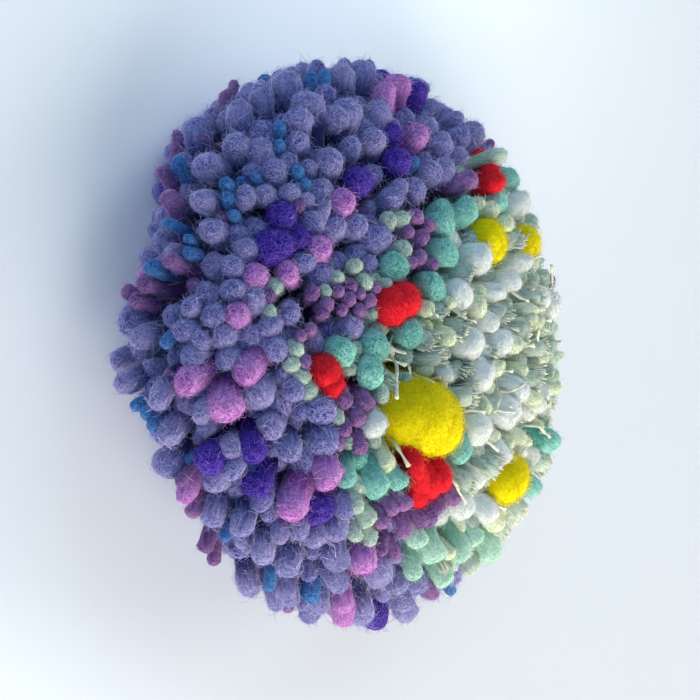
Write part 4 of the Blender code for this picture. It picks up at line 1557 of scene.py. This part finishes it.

# %% [markdown]
# ## The finish of wool
#
# Wool is a mass of fine fibres. Along a strand they run side by side, and round its cut tip they
# tangle. Two patterns give this. The streaks are a noise drawn out along the strand, read from the
# grain attribute. The hairs over the tip are the contour lines of noises drawn out across it in
# three directions, so that they cross. Every yarn uses both, so they are one node group with named
# inputs, and each material sets its own scale and colours.
# The group also paints light and shade: a pale sheen on the tip's shoulder, and shade between the fibres and towards
# the root.

# %% The fibre pattern, a node group for every yarn
HAIR_ANGLES = (10, 70, 130)     # degrees across the tip
HAIR_STRETCH = 0.13
STREAKS_APART = 40.0    # how far apart the streaks of two tones lie in the noise
HAIRS_APART = 60.0      # and their hairs
HAIR_LAYERS_APART = 7.3     # and the three layers of hairs
HAIR_EDGES = (0.22, 0.03)       # where a hair begins and where it is full, from one contour line to the next
LAST_HAIRS = 0.8                # the last direction's hairs are fainter
STREAK_EDGES = (0.22, 0.80)     # the levels of noise that are a valley and a full fibre, along the strand
HAIRS_BREAK = (0.15, 0.62)      # and those over which a hair comes and goes
CLOUDS_PER_METRE = 140.0
CLOUD_EDGES = (0.44, 0.80)
TANGLE_REACHES = (-7.0, -1.0)   # heights on a finger, in millimetres below its tip, as all that follow
# Heights over which the painted sheen comes in on the shoulder and fades at the cut face, and its share over the whole
# tip
SHOULDER = (-8.0, -2.6)
SHOULDER_ENDS = (-0.3, -2.0)
WHOLE_TIP = (-6.5, -0.5)
WHOLE_TIP_SHARE = 0.25
# Heights over which the painted shade comes in, darker towards the root, where the neighbours shade an end
ROOT_SHADE_FROM = (-2.5, -11.0)
PATTERN_INPUTS = {
    "Streaks per mm": 1.9, "Stretch": 0.15, "Hairs per mm": 0.95, "Lines": 5.5, "Tangle": 1.0,
    "Pale tips": 0.3, "Dark roots": 1.0,
}


def build_fibres():
    """The pattern of wool as masks: fibres, clouds of the second colour, a painted sheen on the tip's shoulder and
    painted shade towards the root.
    """
    tree = bpy.data.node_groups.new("fibres", "ShaderNodeTree")
    for socket, value in PATTERN_INPUTS.items():
        tree.interface.new_socket(socket, in_out="INPUT", socket_type="NodeSocketFloat").default_value = value
    for socket in ("Fibre", "Cloud", "Tip", "Depth"):
        tree.interface.new_socket(socket, in_out="OUTPUT", socket_type="NodeSocketFloat")
    given = add_node(tree, "NodeGroupInput").outputs
    grain = add_node(tree, "ShaderNodeAttribute", attribute_name="grain").outputs["Vector"]
    tone = add_node(tree, "ShaderNodeAttribute", attribute_name="tone").outputs["Fac"]

    def maths(operation, first, second):
        return add_node(tree, "ShaderNodeMath", {0: first, 1: second}, operation=operation).outputs[0]

    def smooth_step(value, low, high):
        inputs = {"Value": value, "From Min": low, "From Max": high}
        return add_node(tree, "ShaderNodeMapRange", inputs, interpolation_type="SMOOTHSTEP").outputs["Result"]

    def drawn_out(vector, factors):
        node = add_node(tree, "ShaderNodeVectorMath", {0: vector, 1: factors}, operation="MULTIPLY")
        return node.outputs["Vector"]

    def noise(vector, scale, detail, distortion, variant):
        inputs = {"Vector": vector, "Scale": scale, "Detail": detail, "Distortion": distortion, "W": variant}
        return add_node(tree, "ShaderNodeTexNoise", inputs, noise_dimensions="4D").outputs["Fac"]

    # Streaks run along the strand, and differ from strand to strand.
    stretch = add_node(tree, "ShaderNodeCombineXYZ", {"X": 1.0, "Y": 1.0, "Z": given["Stretch"]})
    along = drawn_out(grain, stretch.outputs["Vector"])
    variant = maths("MULTIPLY", tone, STREAKS_APART)
    streaks = noise(along, given["Streaks per mm"], detail=3.0, distortion=0.5, variant=variant)

    # Hairs cross the tip in three directions.
    across_tip = []
    for number, angle in enumerate(HAIR_ANGLES):
        turned = add_node(tree, "ShaderNodeVectorRotate", {
            "Vector": grain, "Angle": math.radians(angle),
        }, rotation_type="Z_AXIS")
        across = drawn_out(turned.outputs["Vector"], (HAIR_STRETCH, 1.0, 1.0))
        variant = maths("ADD", maths("MULTIPLY", tone, HAIRS_APART), HAIR_LAYERS_APART * number)
        soft = noise(across, given["Hairs per mm"], detail=1.0, distortion=0.35, variant=variant)
        lines = maths("PINGPONG", maths("MULTIPLY", soft, given["Lines"]), 0.5)
        across_tip.append(smooth_step(lines, *HAIR_EDGES))
    first, second, third = across_tip
    hairs = maths("MAXIMUM", maths("MAXIMUM", first, second), maths("MULTIPLY", third, LAST_HAIRS))
    hairs = maths("MULTIPLY", hairs, smooth_step(streaks, *HAIRS_BREAK))

    height = add_node(tree, "ShaderNodeSeparateXYZ", {0: grain}).outputs["Z"]
    at_tip = maths("MULTIPLY", smooth_step(height, *TANGLE_REACHES), given["Tangle"])
    streaks = smooth_step(streaks, *STREAK_EDGES)
    fibre = add_node(tree, "ShaderNodeMix", {"Factor": at_tip, "A": streaks, "B": hairs}, data_type="FLOAT")

    place = add_node(tree, "ShaderNodeTexCoord").outputs["Object"]
    cloud = add_node(tree, "ShaderNodeTexNoise", {"Vector": place, "Scale": CLOUDS_PER_METRE, "Detail": 1.0})

    # The shoulder round the cut face is painted pale, as painted sheen, and the cut face keeps most of its deep
    # colour.
    shoulder = maths("MULTIPLY", smooth_step(height, *SHOULDER), smooth_step(height, *SHOULDER_ENDS))
    tip = maths("MAXIMUM", shoulder, maths("MULTIPLY", smooth_step(height, *WHOLE_TIP), WHOLE_TIP_SHARE))
    add_node(tree, "NodeGroupOutput", {
        "Fibre": fibre.outputs["Result"],
        "Cloud": smooth_step(cloud.outputs["Fac"], *CLOUD_EDGES),
        "Tip": maths("MULTIPLY", tip, given["Pale tips"]),
        "Depth": maths("MULTIPLY", smooth_step(height, *ROOT_SHADE_FROM), given["Dark roots"]),
    })
    return tree


fibres = build_fibres()
print("the fibre pattern has", len(fibres.nodes), "nodes")

# %% Helpers for the materials
ROUGHNESS = 0.95
SHEEN_ROUGHNESS = 0.4
# Painted shade: the deep colour between the fibres stands for the shade in their valleys.
VALLEY_SHADE = 0.48           # how much of the deep colour shows between two fibres
RELIEF = 0.2 * MM       # how high the fibres stand in the bump


def start_material(name, **settings):
    """A material, its tree and its shader, whose own sockets are set."""
    material = bpy.data.materials.new(name)
    material.use_nodes = True
    shader = material.node_tree.nodes["Principled BSDF"]
    for socket, value in settings.items():
        shader.inputs[socket.replace("_", " ")].default_value = value
    return material, material.node_tree, shader


COLOUR_INPUTS = (6, 7)      # a mix node has a pair of inputs for each kind of data: these are its colours
COLOUR_OUTPUT = 2


def mix_colours(tree, factor, first, second, mode="MIX"):
    """A colour mix. Each colour is a tuple or the output of another node."""
    first, second = ((*colour, 1.0) if isinstance(colour, tuple) else colour for colour in (first, second))
    inputs = {"Factor": factor, COLOUR_INPUTS[0]: first, COLOUR_INPUTS[1]: second}
    mix = add_node(tree, "ShaderNodeMix", inputs, data_type="RGBA", blend_type=mode)
    return mix.outputs[COLOUR_OUTPUT]


def attribute(tree, name):
    """The output of a node that reads a number for each point."""
    return add_node(tree, "ShaderNodeAttribute", attribute_name=name).outputs["Fac"]


def wool(name, one, other, deep, pale, strength=0.6, sheen=0.25, bump=0.4, **pattern_settings):
    """A yarn whose ends run between two colours, with pale hairs, painted shade in the valleys between the fibres and
    towards the root, and a painted sheen on the tip.
    """
    material, tree, shader = start_material(
        name, Roughness=ROUGHNESS, Specular_IOR_Level=0.15, Sheen_Weight=sheen,
        Sheen_Roughness=SHEEN_ROUGHNESS, Sheen_Tint=(*pale, 1.0),
    )
    settings = {socket.capitalize().replace("_", " "): value for socket, value in pattern_settings.items()}
    pattern = add_node(tree, "ShaderNodeGroup", settings, node_tree=fibres).outputs
    base = mix_colours(tree, attribute(tree, "tone"), one, other)
    base = mix_colours(tree, pattern["Cloud"], base, other)
    # Painted sheen: the tip's shoulder is painted pale, as fuzz looks where light grazes it.
    base = mix_colours(tree, pattern["Tip"], base, pale)
    # Painted shade: the deep colour fills the valleys between the fibres.
    valley = mix_colours(tree, VALLEY_SHADE, base, deep)
    hair = mix_colours(tree, strength, base, pale)
    base = mix_colours(tree, pattern["Fibre"], valley, hair)
    # Painted shade: each end darkens towards its root, where its neighbours shade it.
    base = mix_colours(tree, pattern["Depth"], base, deep)
    tree.links.new(base, shader.inputs["Base Color"])
    relief = add_node(tree, "ShaderNodeBump", {
        "Strength": bump, "Distance": RELIEF, "Height": pattern["Fibre"],
    })
    tree.links.new(relief.outputs["Normal"], shader.inputs["Normal"])
    return material


print("the fibres stand", RELIEF / MM, "mm high in the bump")

# %% One material for each yarn
# Each one has its two colours, its deep colour, which is painted shade, its pale one, for the hairs and the painted
# sheen, and how it differs from the usual.
FINISHES = {
    "periwinkle": wool(
        "periwinkle_wool",
        (0.016, 0.026, 0.27), (0.215, 0.178, 0.395), (0.011, 0.013, 0.095), (0.49, 0.48, 0.80),
        strength=0.55, bump=0.55, sheen=0.9, pale_tips=0.24, dark_roots=0.92,
    ),
    "violet": wool(
        "violet_wool",
        (0.022, 0.003, 0.21), (0.048, 0.01, 0.30), (0.006, 0.001, 0.08), (0.30, 0.20, 0.78),
        strength=0.30, bump=0.45, sheen=0.05, pale_tips=0.0, dark_roots=0.8,
    ),
    "orchid": wool(
        "orchid_wool",
        (0.27, 0.04, 0.35), (0.40, 0.095, 0.48), (0.07, 0.006, 0.12), (0.88, 0.52, 0.90),
        strength=0.42, bump=0.45, sheen=0.5, pale_tips=0.24, dark_roots=0.75,
    ),
    "blue": wool(
        "blue_wool",
        (0.01, 0.085, 0.33), (0.045, 0.20, 0.50), (0.003, 0.02, 0.12), (0.22, 0.44, 0.74),
        strength=0.38, bump=0.45, sheen=0.3, pale_tips=0.10, dark_roots=0.75,
    ),
    "lilac": wool(
        "lilac_wool",
        (0.098, 0.03, 0.16), (0.29, 0.13, 0.32), (0.028, 0.008, 0.07), (0.52, 0.32, 0.62),
        strength=0.34, bump=0.45, sheen=0.45, pale_tips=0.14, dark_roots=0.8,
    ),
    "mint": wool(
        "mint_felt",
        (0.03, 0.31, 0.255), (0.13, 0.50, 0.40), (0.01, 0.13, 0.11), (0.55, 0.90, 0.80),
        strength=0.42, bump=0.35, sheen=0.5, pale_tips=0.24, dark_roots=0.75, stretch=0.22,
    ),
    "foam": wool(
        "foam_felt",
        (0.18, 0.48, 0.34), (0.33, 0.62, 0.46), (0.05, 0.20, 0.14), (0.74, 0.93, 0.80),
        strength=0.40, bump=0.30, sheen=0.6, pale_tips=0.30, dark_roots=0.6, stretch=0.26,
    ),
    "white": wool(
        "white_wool",
        (0.68, 0.79, 0.755), (0.90, 0.91, 0.845), (0.32, 0.46, 0.43), (0.97, 0.98, 0.95),
        strength=0.6, bump=0.8, sheen=0.9, pale_tips=0.40, dark_roots=0.6,
    ),
    "sage": wool(
        "sage_wool",
        (0.17, 0.34, 0.27), (0.40, 0.56, 0.43), (0.06, 0.14, 0.11), (0.80, 0.88, 0.77),
        strength=0.5, bump=0.45, sheen=0.7, pale_tips=0.30, dark_roots=0.6,
    ),
    "lime": wool(
        "lime_wool",
        (0.49, 0.65, 0.36), (0.69, 0.79, 0.52), (0.18, 0.28, 0.13), (0.94, 0.96, 0.80),
        strength=0.5, bump=0.45, sheen=0.7, pale_tips=0.30, dark_roots=0.6,
    ),
    "cotton": wool(
        "sage_cotton",
        (0.17, 0.31, 0.26), (0.38, 0.52, 0.42), (0.07, 0.13, 0.11), (0.70, 0.78, 0.66),
        streaks_per_mm=2.4, tangle=0.2, bump=0.5, dark_roots=0.5,
    ),
    "brush": wool(
        "cotton_threads",
        (0.19, 0.34, 0.29), (0.64, 0.74, 0.57), (0.06, 0.13, 0.11), (0.92, 0.93, 0.80),
        streaks_per_mm=1.2, tangle=0.0, bump=0.1, pale_tips=0.4, dark_roots=0.7,
    ),
    "twine": wool(
        "cream_cotton",
        (0.60, 0.66, 0.43), (0.82, 0.82, 0.60), (0.16, 0.20, 0.12), (0.94, 0.94, 0.80),
        streaks_per_mm=1.6, tangle=0.0, bump=0.2, dark_roots=0.5,
    ),
    "yellow": wool(
        "yellow_felt",
        (0.78, 0.64, 0.001), (0.93, 0.81, 0.001), (0.52, 0.39, 0.001), (0.97, 0.90, 0.002),
        strength=0.3, bump=0.3, sheen=0.0, pale_tips=0.1, dark_roots=0.6,
    ),
    "red": wool(
        "red_felt",
        (0.72, 0.002, 0.01), (0.90, 0.006, 0.024), (0.34, 0.001, 0.006), (0.96, 0.08, 0.09),
        strength=0.25, bump=0.3, sheen=0.0, pale_tips=0.06, dark_roots=0.7,
    ),
}
FINISHES["back"] = wool(
    "periwinkle_roving",
    (0.085, 0.095, 0.30), (0.20, 0.19, 0.42), (0.03, 0.03, 0.12), (0.34, 0.34, 0.60),
    streaks_per_mm=1.2, stretch=0.05, tangle=0.0, dark_roots=0.35,
)
print("wools:", [finish.name for finish in FINISHES.values()])

# %% The finish of loose fibres, and the dressing of each piece
def loose(name, dark, pale, sheen):
    """The finish of loose fibres: each one is somewhere between two colours."""
    material, tree, shader = start_material(
        name, Roughness=0.8, Specular_IOR_Level=0.2, Sheen_Weight=sheen, Sheen_Roughness=SHEEN_ROUGHNESS
    )
    tree.links.new(mix_colours(tree, attribute(tree, "shade"), dark, pale), shader.inputs["Base Color"])
    return material


FIBRE_COLOURS = {
    # yarn: dark, pale, sheen
    "periwinkle": ((0.18, 0.19, 0.52), (0.74, 0.72, 0.95), 0.1),
    "violet": ((0.05, 0.016, 0.36), (0.40, 0.25, 0.86), 0.1),
    "orchid": ((0.42, 0.10, 0.48), (0.92, 0.62, 0.94), 0.1),
    "blue": ((0.02, 0.11, 0.40), (0.26, 0.48, 0.80), 0.1),
    "lilac": ((0.18, 0.08, 0.30), (0.68, 0.50, 0.78), 0.1),
    "mint": ((0.08, 0.42, 0.34), (0.64, 0.92, 0.82), 0.1),
    "foam": ((0.22, 0.52, 0.40), (0.76, 0.94, 0.84), 0.1),
    "white": ((0.70, 0.80, 0.78), (0.96, 0.97, 0.95), 0.1),
    "sage": ((0.32, 0.48, 0.39), (0.84, 0.91, 0.80), 0.1),
    "lime": ((0.56, 0.69, 0.40), (0.94, 0.96, 0.80), 0.1),
    "yellow": ((0.64, 0.50, 0.001), (0.97, 0.90, 0.003), 0.0),
    "red": ((0.62, 0.002, 0.01), (0.96, 0.06, 0.07), 0.0),
}
LOOSE = {yarn: loose(yarn + "_fibres", *row) for yarn, row in FIBRE_COLOURS.items()}


def finish(piece, material):
    """Gives a piece its one material."""
    piece.data.materials.clear()
    piece.data.materials.append(material)


SLOTS = {"back": "periwinkle_wool", "periwinkle": "periwinkle_wool", "mint": "sea_green_wool"}
for yarn, ends in ENDS.items():
    finish(ends, FINISHES[yarn])
    if yarn in SLOTS:
        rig.slot(ends, SLOTS[yarn])
for node, felt in FELTS.items():
    finish(felt, FINISHES[node.split("_")[0]])
    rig.slot(felt, node.split("_")[0] + "_felt")
for source, pieces in fuzz_of.items():
    for fuzz in pieces:
        finish(fuzz, LOOSE[source.split("_")[0]])
print(len(ENDS) + len(FELTS) + sum(map(len, fuzz_of.values())), "pieces are dressed")

# %% [markdown]
# ## The imported yarn behind the ends
#
# Between the ends the eye falls on the imported yarn further in. It is one dense form, three quarters
# of the way out, and it is flat at the back, where the strands run out from the tie like pleats. Rings
# are extruded from the tie out over the back and then up over the front. The front's points are moved
# along their own rays onto the form, and the pleats are pressed into the back.
# Its front is painted dark, as painted shade, because it lies in the shade of the ends over it.

# %% Modelling the imported yarn
PACKED = 0.74           # of the way out to the ends
PACKED_SIDES = 132
POINT_RISES = 0.1 * MM  # from the last ring to the point that closes the front
TIE_RADIUS = 4          # in millimetres, as the radii on the flat back that follow
BACK_RINGS = (8, 16, 22, 25, 28, 31, 34)
FRONT_POLARS = np.radians(np.arange(88, 2, -3.0))


def model_packed(name):
    """Rings over the flat back and up over the front, in their rough places."""
    deselect_all()
    bpy.ops.mesh.primitive_circle_add(
        vertices=PACKED_SIDES, radius=TIE_RADIUS * MM, fill_type="NGON", rotation=(math.pi / 2, 0, 0)
    )
    packed = bpy.context.object
    bpy.ops.object.transform_apply(location=True, rotation=True, scale=True)
    bpy.ops.object.mode_set(mode="EDIT")
    bpy.ops.mesh.select_all(action="SELECT")
    centre, width = Vector((0, 0, 0)), TIE_RADIUS
    rings = [(radius, 0.0) for radius in BACK_RINGS]
    rings += [
        (PACKED * RADIUS / MM * math.sin(polar), -PACKED * FRONT_DEPTH * math.cos(polar))
        for polar in FRONT_POLARS
    ]
    for radius, height in rings:
        new_centre = Vector((0, height, 0))
        extrude_to(centre, new_centre, radius / width)
        centre, width = new_centre, radius
    extrude_to(centre, centre + Vector((0, -POINT_RISES, 0)), TIP_WIDENING)
    bpy.ops.mesh.merge(type="CENTER")
    return leave_edit_mode(packed, name)


packed = model_packed("packed_yarn")
print("packed yarn:", len(packed.data.polygons), "faces")

# %% Shaping it, and colouring it by what lies over it, with painted shade on its front
PLEATS = 44
PLEATS_WANDER = (1.5, 5)        # how far, and how many times round
PLEAT_RADII = np.array((4.0, 9.0, 22.5, 29.5)) * MM     # how deep the back is pressed in at these radii
PLEAT_DEPTHS = np.array((0.0, 0.8, 0.9, 3.4)) * MM
LEAST_PLEAT = 0.4               # of that depth, which the whole back is pressed in by
LUMPS = (0.025, 37, 41)         # how high, as a share, and how many across and up
NOT_BACK = 0.01 * MM
TINT_FROM = -0.05               # the front starts where a direction points this far forward
TINT_BLENDS = 3.0               # degrees over which the patch's colour comes in
# Painted shade: the front is painted dark by this much, because the ends over it shade it.
SHADED = 0.80                   # how dark the front is, and how much less so under the patch
PATCH_SHADED_LESS = 0.45


def shape_packed(packed):
    """Moves the front along its rays onto the form, and presses pleats into the back."""
    points = np.array([vertex.co for vertex in packed.data.vertices])
    clock = np.arctan2(points[:, 2], points[:, 0])
    front = points[:, 1] < -NOT_BACK
    from_tie = np.hypot(points[:, 0], points[:, 2])
    ways = points / np.linalg.norm(points, axis=1)[:, None].clip(TINY)
    high, across, up = LUMPS
    lumps = 1 + high * np.sin(ways[:, 0] * across) * np.sin(ways[:, 2] * up)
    points[front] = (ways * (PACKED * reach(ways) * lumps)[:, None])[front]
    wander, rounds = PLEATS_WANDER
    pleat = 0.5 + 0.5 * np.sin(clock * PLEATS + wander * np.sin(clock * rounds))
    deep = np.interp(from_tie, PLEAT_RADII, PLEAT_DEPTHS)
    points[~front, 1] -= (deep * (LEAST_PLEAT + (1 - LEAST_PLEAT) * pleat))[~front]
    packed.data.vertices.foreach_set("co", points.ravel())


def set_attribute(piece, name, values):
    """Writes a number for each point into the mesh."""
    piece.data.attributes.new(name, "FLOAT", "POINT").data.foreach_set("value", values)


def plain_wool(name, one, other, dark):
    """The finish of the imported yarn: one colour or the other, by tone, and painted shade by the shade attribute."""
    material, tree, shader = start_material(name, Roughness=ROUGHNESS, Specular_IOR_Level=0.1)
    place = add_node(tree, "ShaderNodeTexCoord").outputs["Object"]
    noise = add_node(tree, "ShaderNodeTexNoise", {"Vector": place, "Scale": 700.0, "Detail": 3.0})
    base = mix_colours(tree, attribute(tree, "tone"), one, other)
    base = mix_colours(tree, noise.outputs["Fac"], base, (0.5, 0.5, 0.5), "MULTIPLY")
    base = mix_colours(tree, attribute(tree, "shade"), base, dark)
    tree.links.new(base, shader.inputs["Base Color"])
    return material


shape_packed(packed)
packed_ways = np.array([vertex.co.normalized() for vertex in packed.data.vertices])
in_front = packed_ways[:, 1] < TINT_FROM
green = np.clip(inside_patch(packed_ways) / TINT_BLENDS, 0, 1) * in_front
set_attribute(packed, "tone", green)
set_attribute(packed, "shade", np.where(in_front, SHADED - PATCH_SHADED_LESS * green, 0.0))
# Its colours are dark blue and sea green, by tone, and a near black that is painted shade.
packed.data.materials.append(
    plain_wool("packed_wool", (0.130, 0.135, 0.380), (0.200, 0.380, 0.320), (0.006, 0.007, 0.035))
)
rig.ride(packed, "root")
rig.replaces(packed, "periwinkle_bundle", "sea_green_patch")
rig.slot(packed, "periwinkle_wool")
print("share of its points under the patch:", round(float(green.mean()), 2))

# %% [markdown]
# ## The wall, the floor and the light
#
# The wall behind the pom pom is a plain pale sheet. It is only there from the front: its back lets
# the view through, so that the pom pom's own back can be looked at. Four large lamps light the pom
# pom: warm ones from the right and from below, and cool ones from the left and from above, which
# model its round ends in two colours. A pale sky fills the shadows. Three small lamps light the
# wall alone, because the real one is bright at its edges and shaded to the left of the pom pom, and
# a lamp behind the wall, which the wall doesn't block, lights the flat back.

# %% Wall and floor
WALL_GAP = 0.6 * MM
WALL_SIZE = 6.0
FLOOR_SIZE = 12.0
FLOOR_LEVEL = -1.6
WALL_COLOUR = (0.543, 0.592, 0.630, 1.0)
FLOOR_COLOUR = (0.80, 0.82, 0.85, 1.0)


def plain_paint(name, colour):
    """A matt paint."""
    material, _, _ = start_material(name, Base_Color=colour, Roughness=0.9, Specular_IOR_Level=0.1)
    return material


def seen_from_the_front_only(material):
    """Makes the paint clear where the sheet is looked at from behind."""
    tree = material.node_tree
    side = add_node(tree, "ShaderNodeNewGeometry").outputs["Backfacing"]
    paint = tree.nodes["Principled BSDF"].outputs["BSDF"]
    clear = add_node(tree, "ShaderNodeBsdfTransparent").outputs["BSDF"]
    choose = add_node(tree, "ShaderNodeMixShader", {"Fac": side, 1: paint, 2: clear})
    tree.links.new(choose.outputs["Shader"], tree.nodes["Material Output"].inputs["Surface"])


deselect_all()
bpy.ops.mesh.primitive_plane_add(
    size=WALL_SIZE, location=(0, WALL_GAP, FLOOR_LEVEL + WALL_SIZE / 2), rotation=(math.pi / 2, 0, 0)
)
wall = bpy.context.object
wall.name = "wall"
wall_paint = plain_paint("wall_paint", WALL_COLOUR)
seen_from_the_front_only(wall_paint)
wall.data.materials.append(wall_paint)
bpy.ops.mesh.primitive_plane_add(size=FLOOR_SIZE, location=(0, 0, FLOOR_LEVEL))
floor = bpy.context.object
floor.name = "floor"
floor.data.materials.append(plain_paint("floor_paint", FLOOR_COLOUR))
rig.stage(wall, floor)
print("the wall stands", round(WALL_GAP / MM, 1), "mm behind the pom pom")

# %% Lights
LAMPS = {
    # name: place, what it points at, energy, colour, size
    "light_right": ((1.5, -0.7, 0.1), (0, 0, 0), 16.2, (1.0, 0.97, 0.89), 0.9),
    "light_below": ((0.1, -0.6, -1.3), (0, 0, 0), 37.5, (1.0, 0.88, 0.74), 1.2),
    "light_left": ((-1.5, -0.9, 0.1), (0, 0, 0), 8.2, (0.34, 0.60, 1.0), 1.6),
    "light_top": ((0.0, -0.9, 1.5), (0, 0, 0), 14.0, (0.48, 0.76, 1.0), 1.9),
    "wall_light_high": ((0.08, -0.35, 0.28), (0.0, 0, 0.11), 0.40, (0.97, 0.98, 1.0), 0.25),
    "wall_light_top": ((0.03, -0.08, 0.17), (0, 0, 0.11), 0.125, (0.95, 0.98, 1.0), 0.10),
    "wall_light_low": ((-0.15, -0.10, -0.16), (-0.13, 0, -0.10), 0.140, (1.0, 0.98, 0.95), 0.12),
    "light_behind": ((-0.3, 1.2, 0.5), (0, 0, 0), 9.0, (1.0, 1.0, 1.0), 0.9),
}


def add_lamp(name, place, aim, energy, colour, size):
    """A soft lamp that isn't seen itself."""
    data = bpy.data.lights.new(name, "AREA")
    data.energy = energy
    data.color = colour
    data.size = size
    lamp = bpy.data.objects.new(name, data)
    bpy.context.scene.collection.objects.link(lamp)
    lamp.location = place
    lamp.rotation_euler = (Vector(aim) - Vector(place)).to_track_quat("-Z", "Y").to_euler()
    lamp.visible_camera = False
    return lamp


lamps = {name: add_lamp(name, *row) for name, row in LAMPS.items()}
print("lamps:", list(lamps))

# %% What each lamp lights, and the sky
SKY_COLOUR = (0.77, 0.80, 1.0, 1.0)
SKY_STRENGTH = 0.21
stage_only = bpy.data.collections.new("stage_only")
stage_only.objects.link(wall)
stage_only.objects.link(floor)
for name, lamp in lamps.items():
    if name.startswith("wall_light"):
        lamp.light_linking.receiver_collection = stage_only
        lamp.light_linking.blocker_collection = stage_only
not_blocking = bpy.data.collections.new("not_blocking")
not_blocking.objects.link(wall)
lamps["light_behind"].light_linking.blocker_collection = not_blocking
for link_row in not_blocking.collection_objects:
    link_row.light_linking.link_state = "EXCLUDE"

sky = bpy.data.worlds.new("sky")
bpy.context.scene.world = sky
sky.use_nodes = True
sky.node_tree.nodes["Background"].inputs["Color"].default_value = SKY_COLOUR
sky.node_tree.nodes["Background"].inputs["Strength"].default_value = SKY_STRENGTH
bpy.context.scene.view_settings.view_transform = "Standard"
print("the sky's strength is", SKY_STRENGTH)

# %% Clearing the workshop and writing the boxes
def box_numbers(bounds):
    """A box as six numbers."""
    return [round(number, 5) for corner in bounds for number in corner]


for piece in list(workshop.all_objects):
    bpy.data.objects.remove(piece, do_unlink=True)
with open("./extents.json", "w") as size_file:
    size_file.write(str(box_numbers(CAD_BOX)) + "\n" + str(box_numbers(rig.bounds())) + "\n")
triangles = {
    piece.name: sum(len(face.vertices) - 2 for face in piece.data.polygons)
    for piece in bpy.context.scene.objects if piece.type == "MESH" and not piece.name.startswith("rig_")
}
print("triangles in all:", sum(triangles.values()), "most in one piece:", max(triangles.values()))
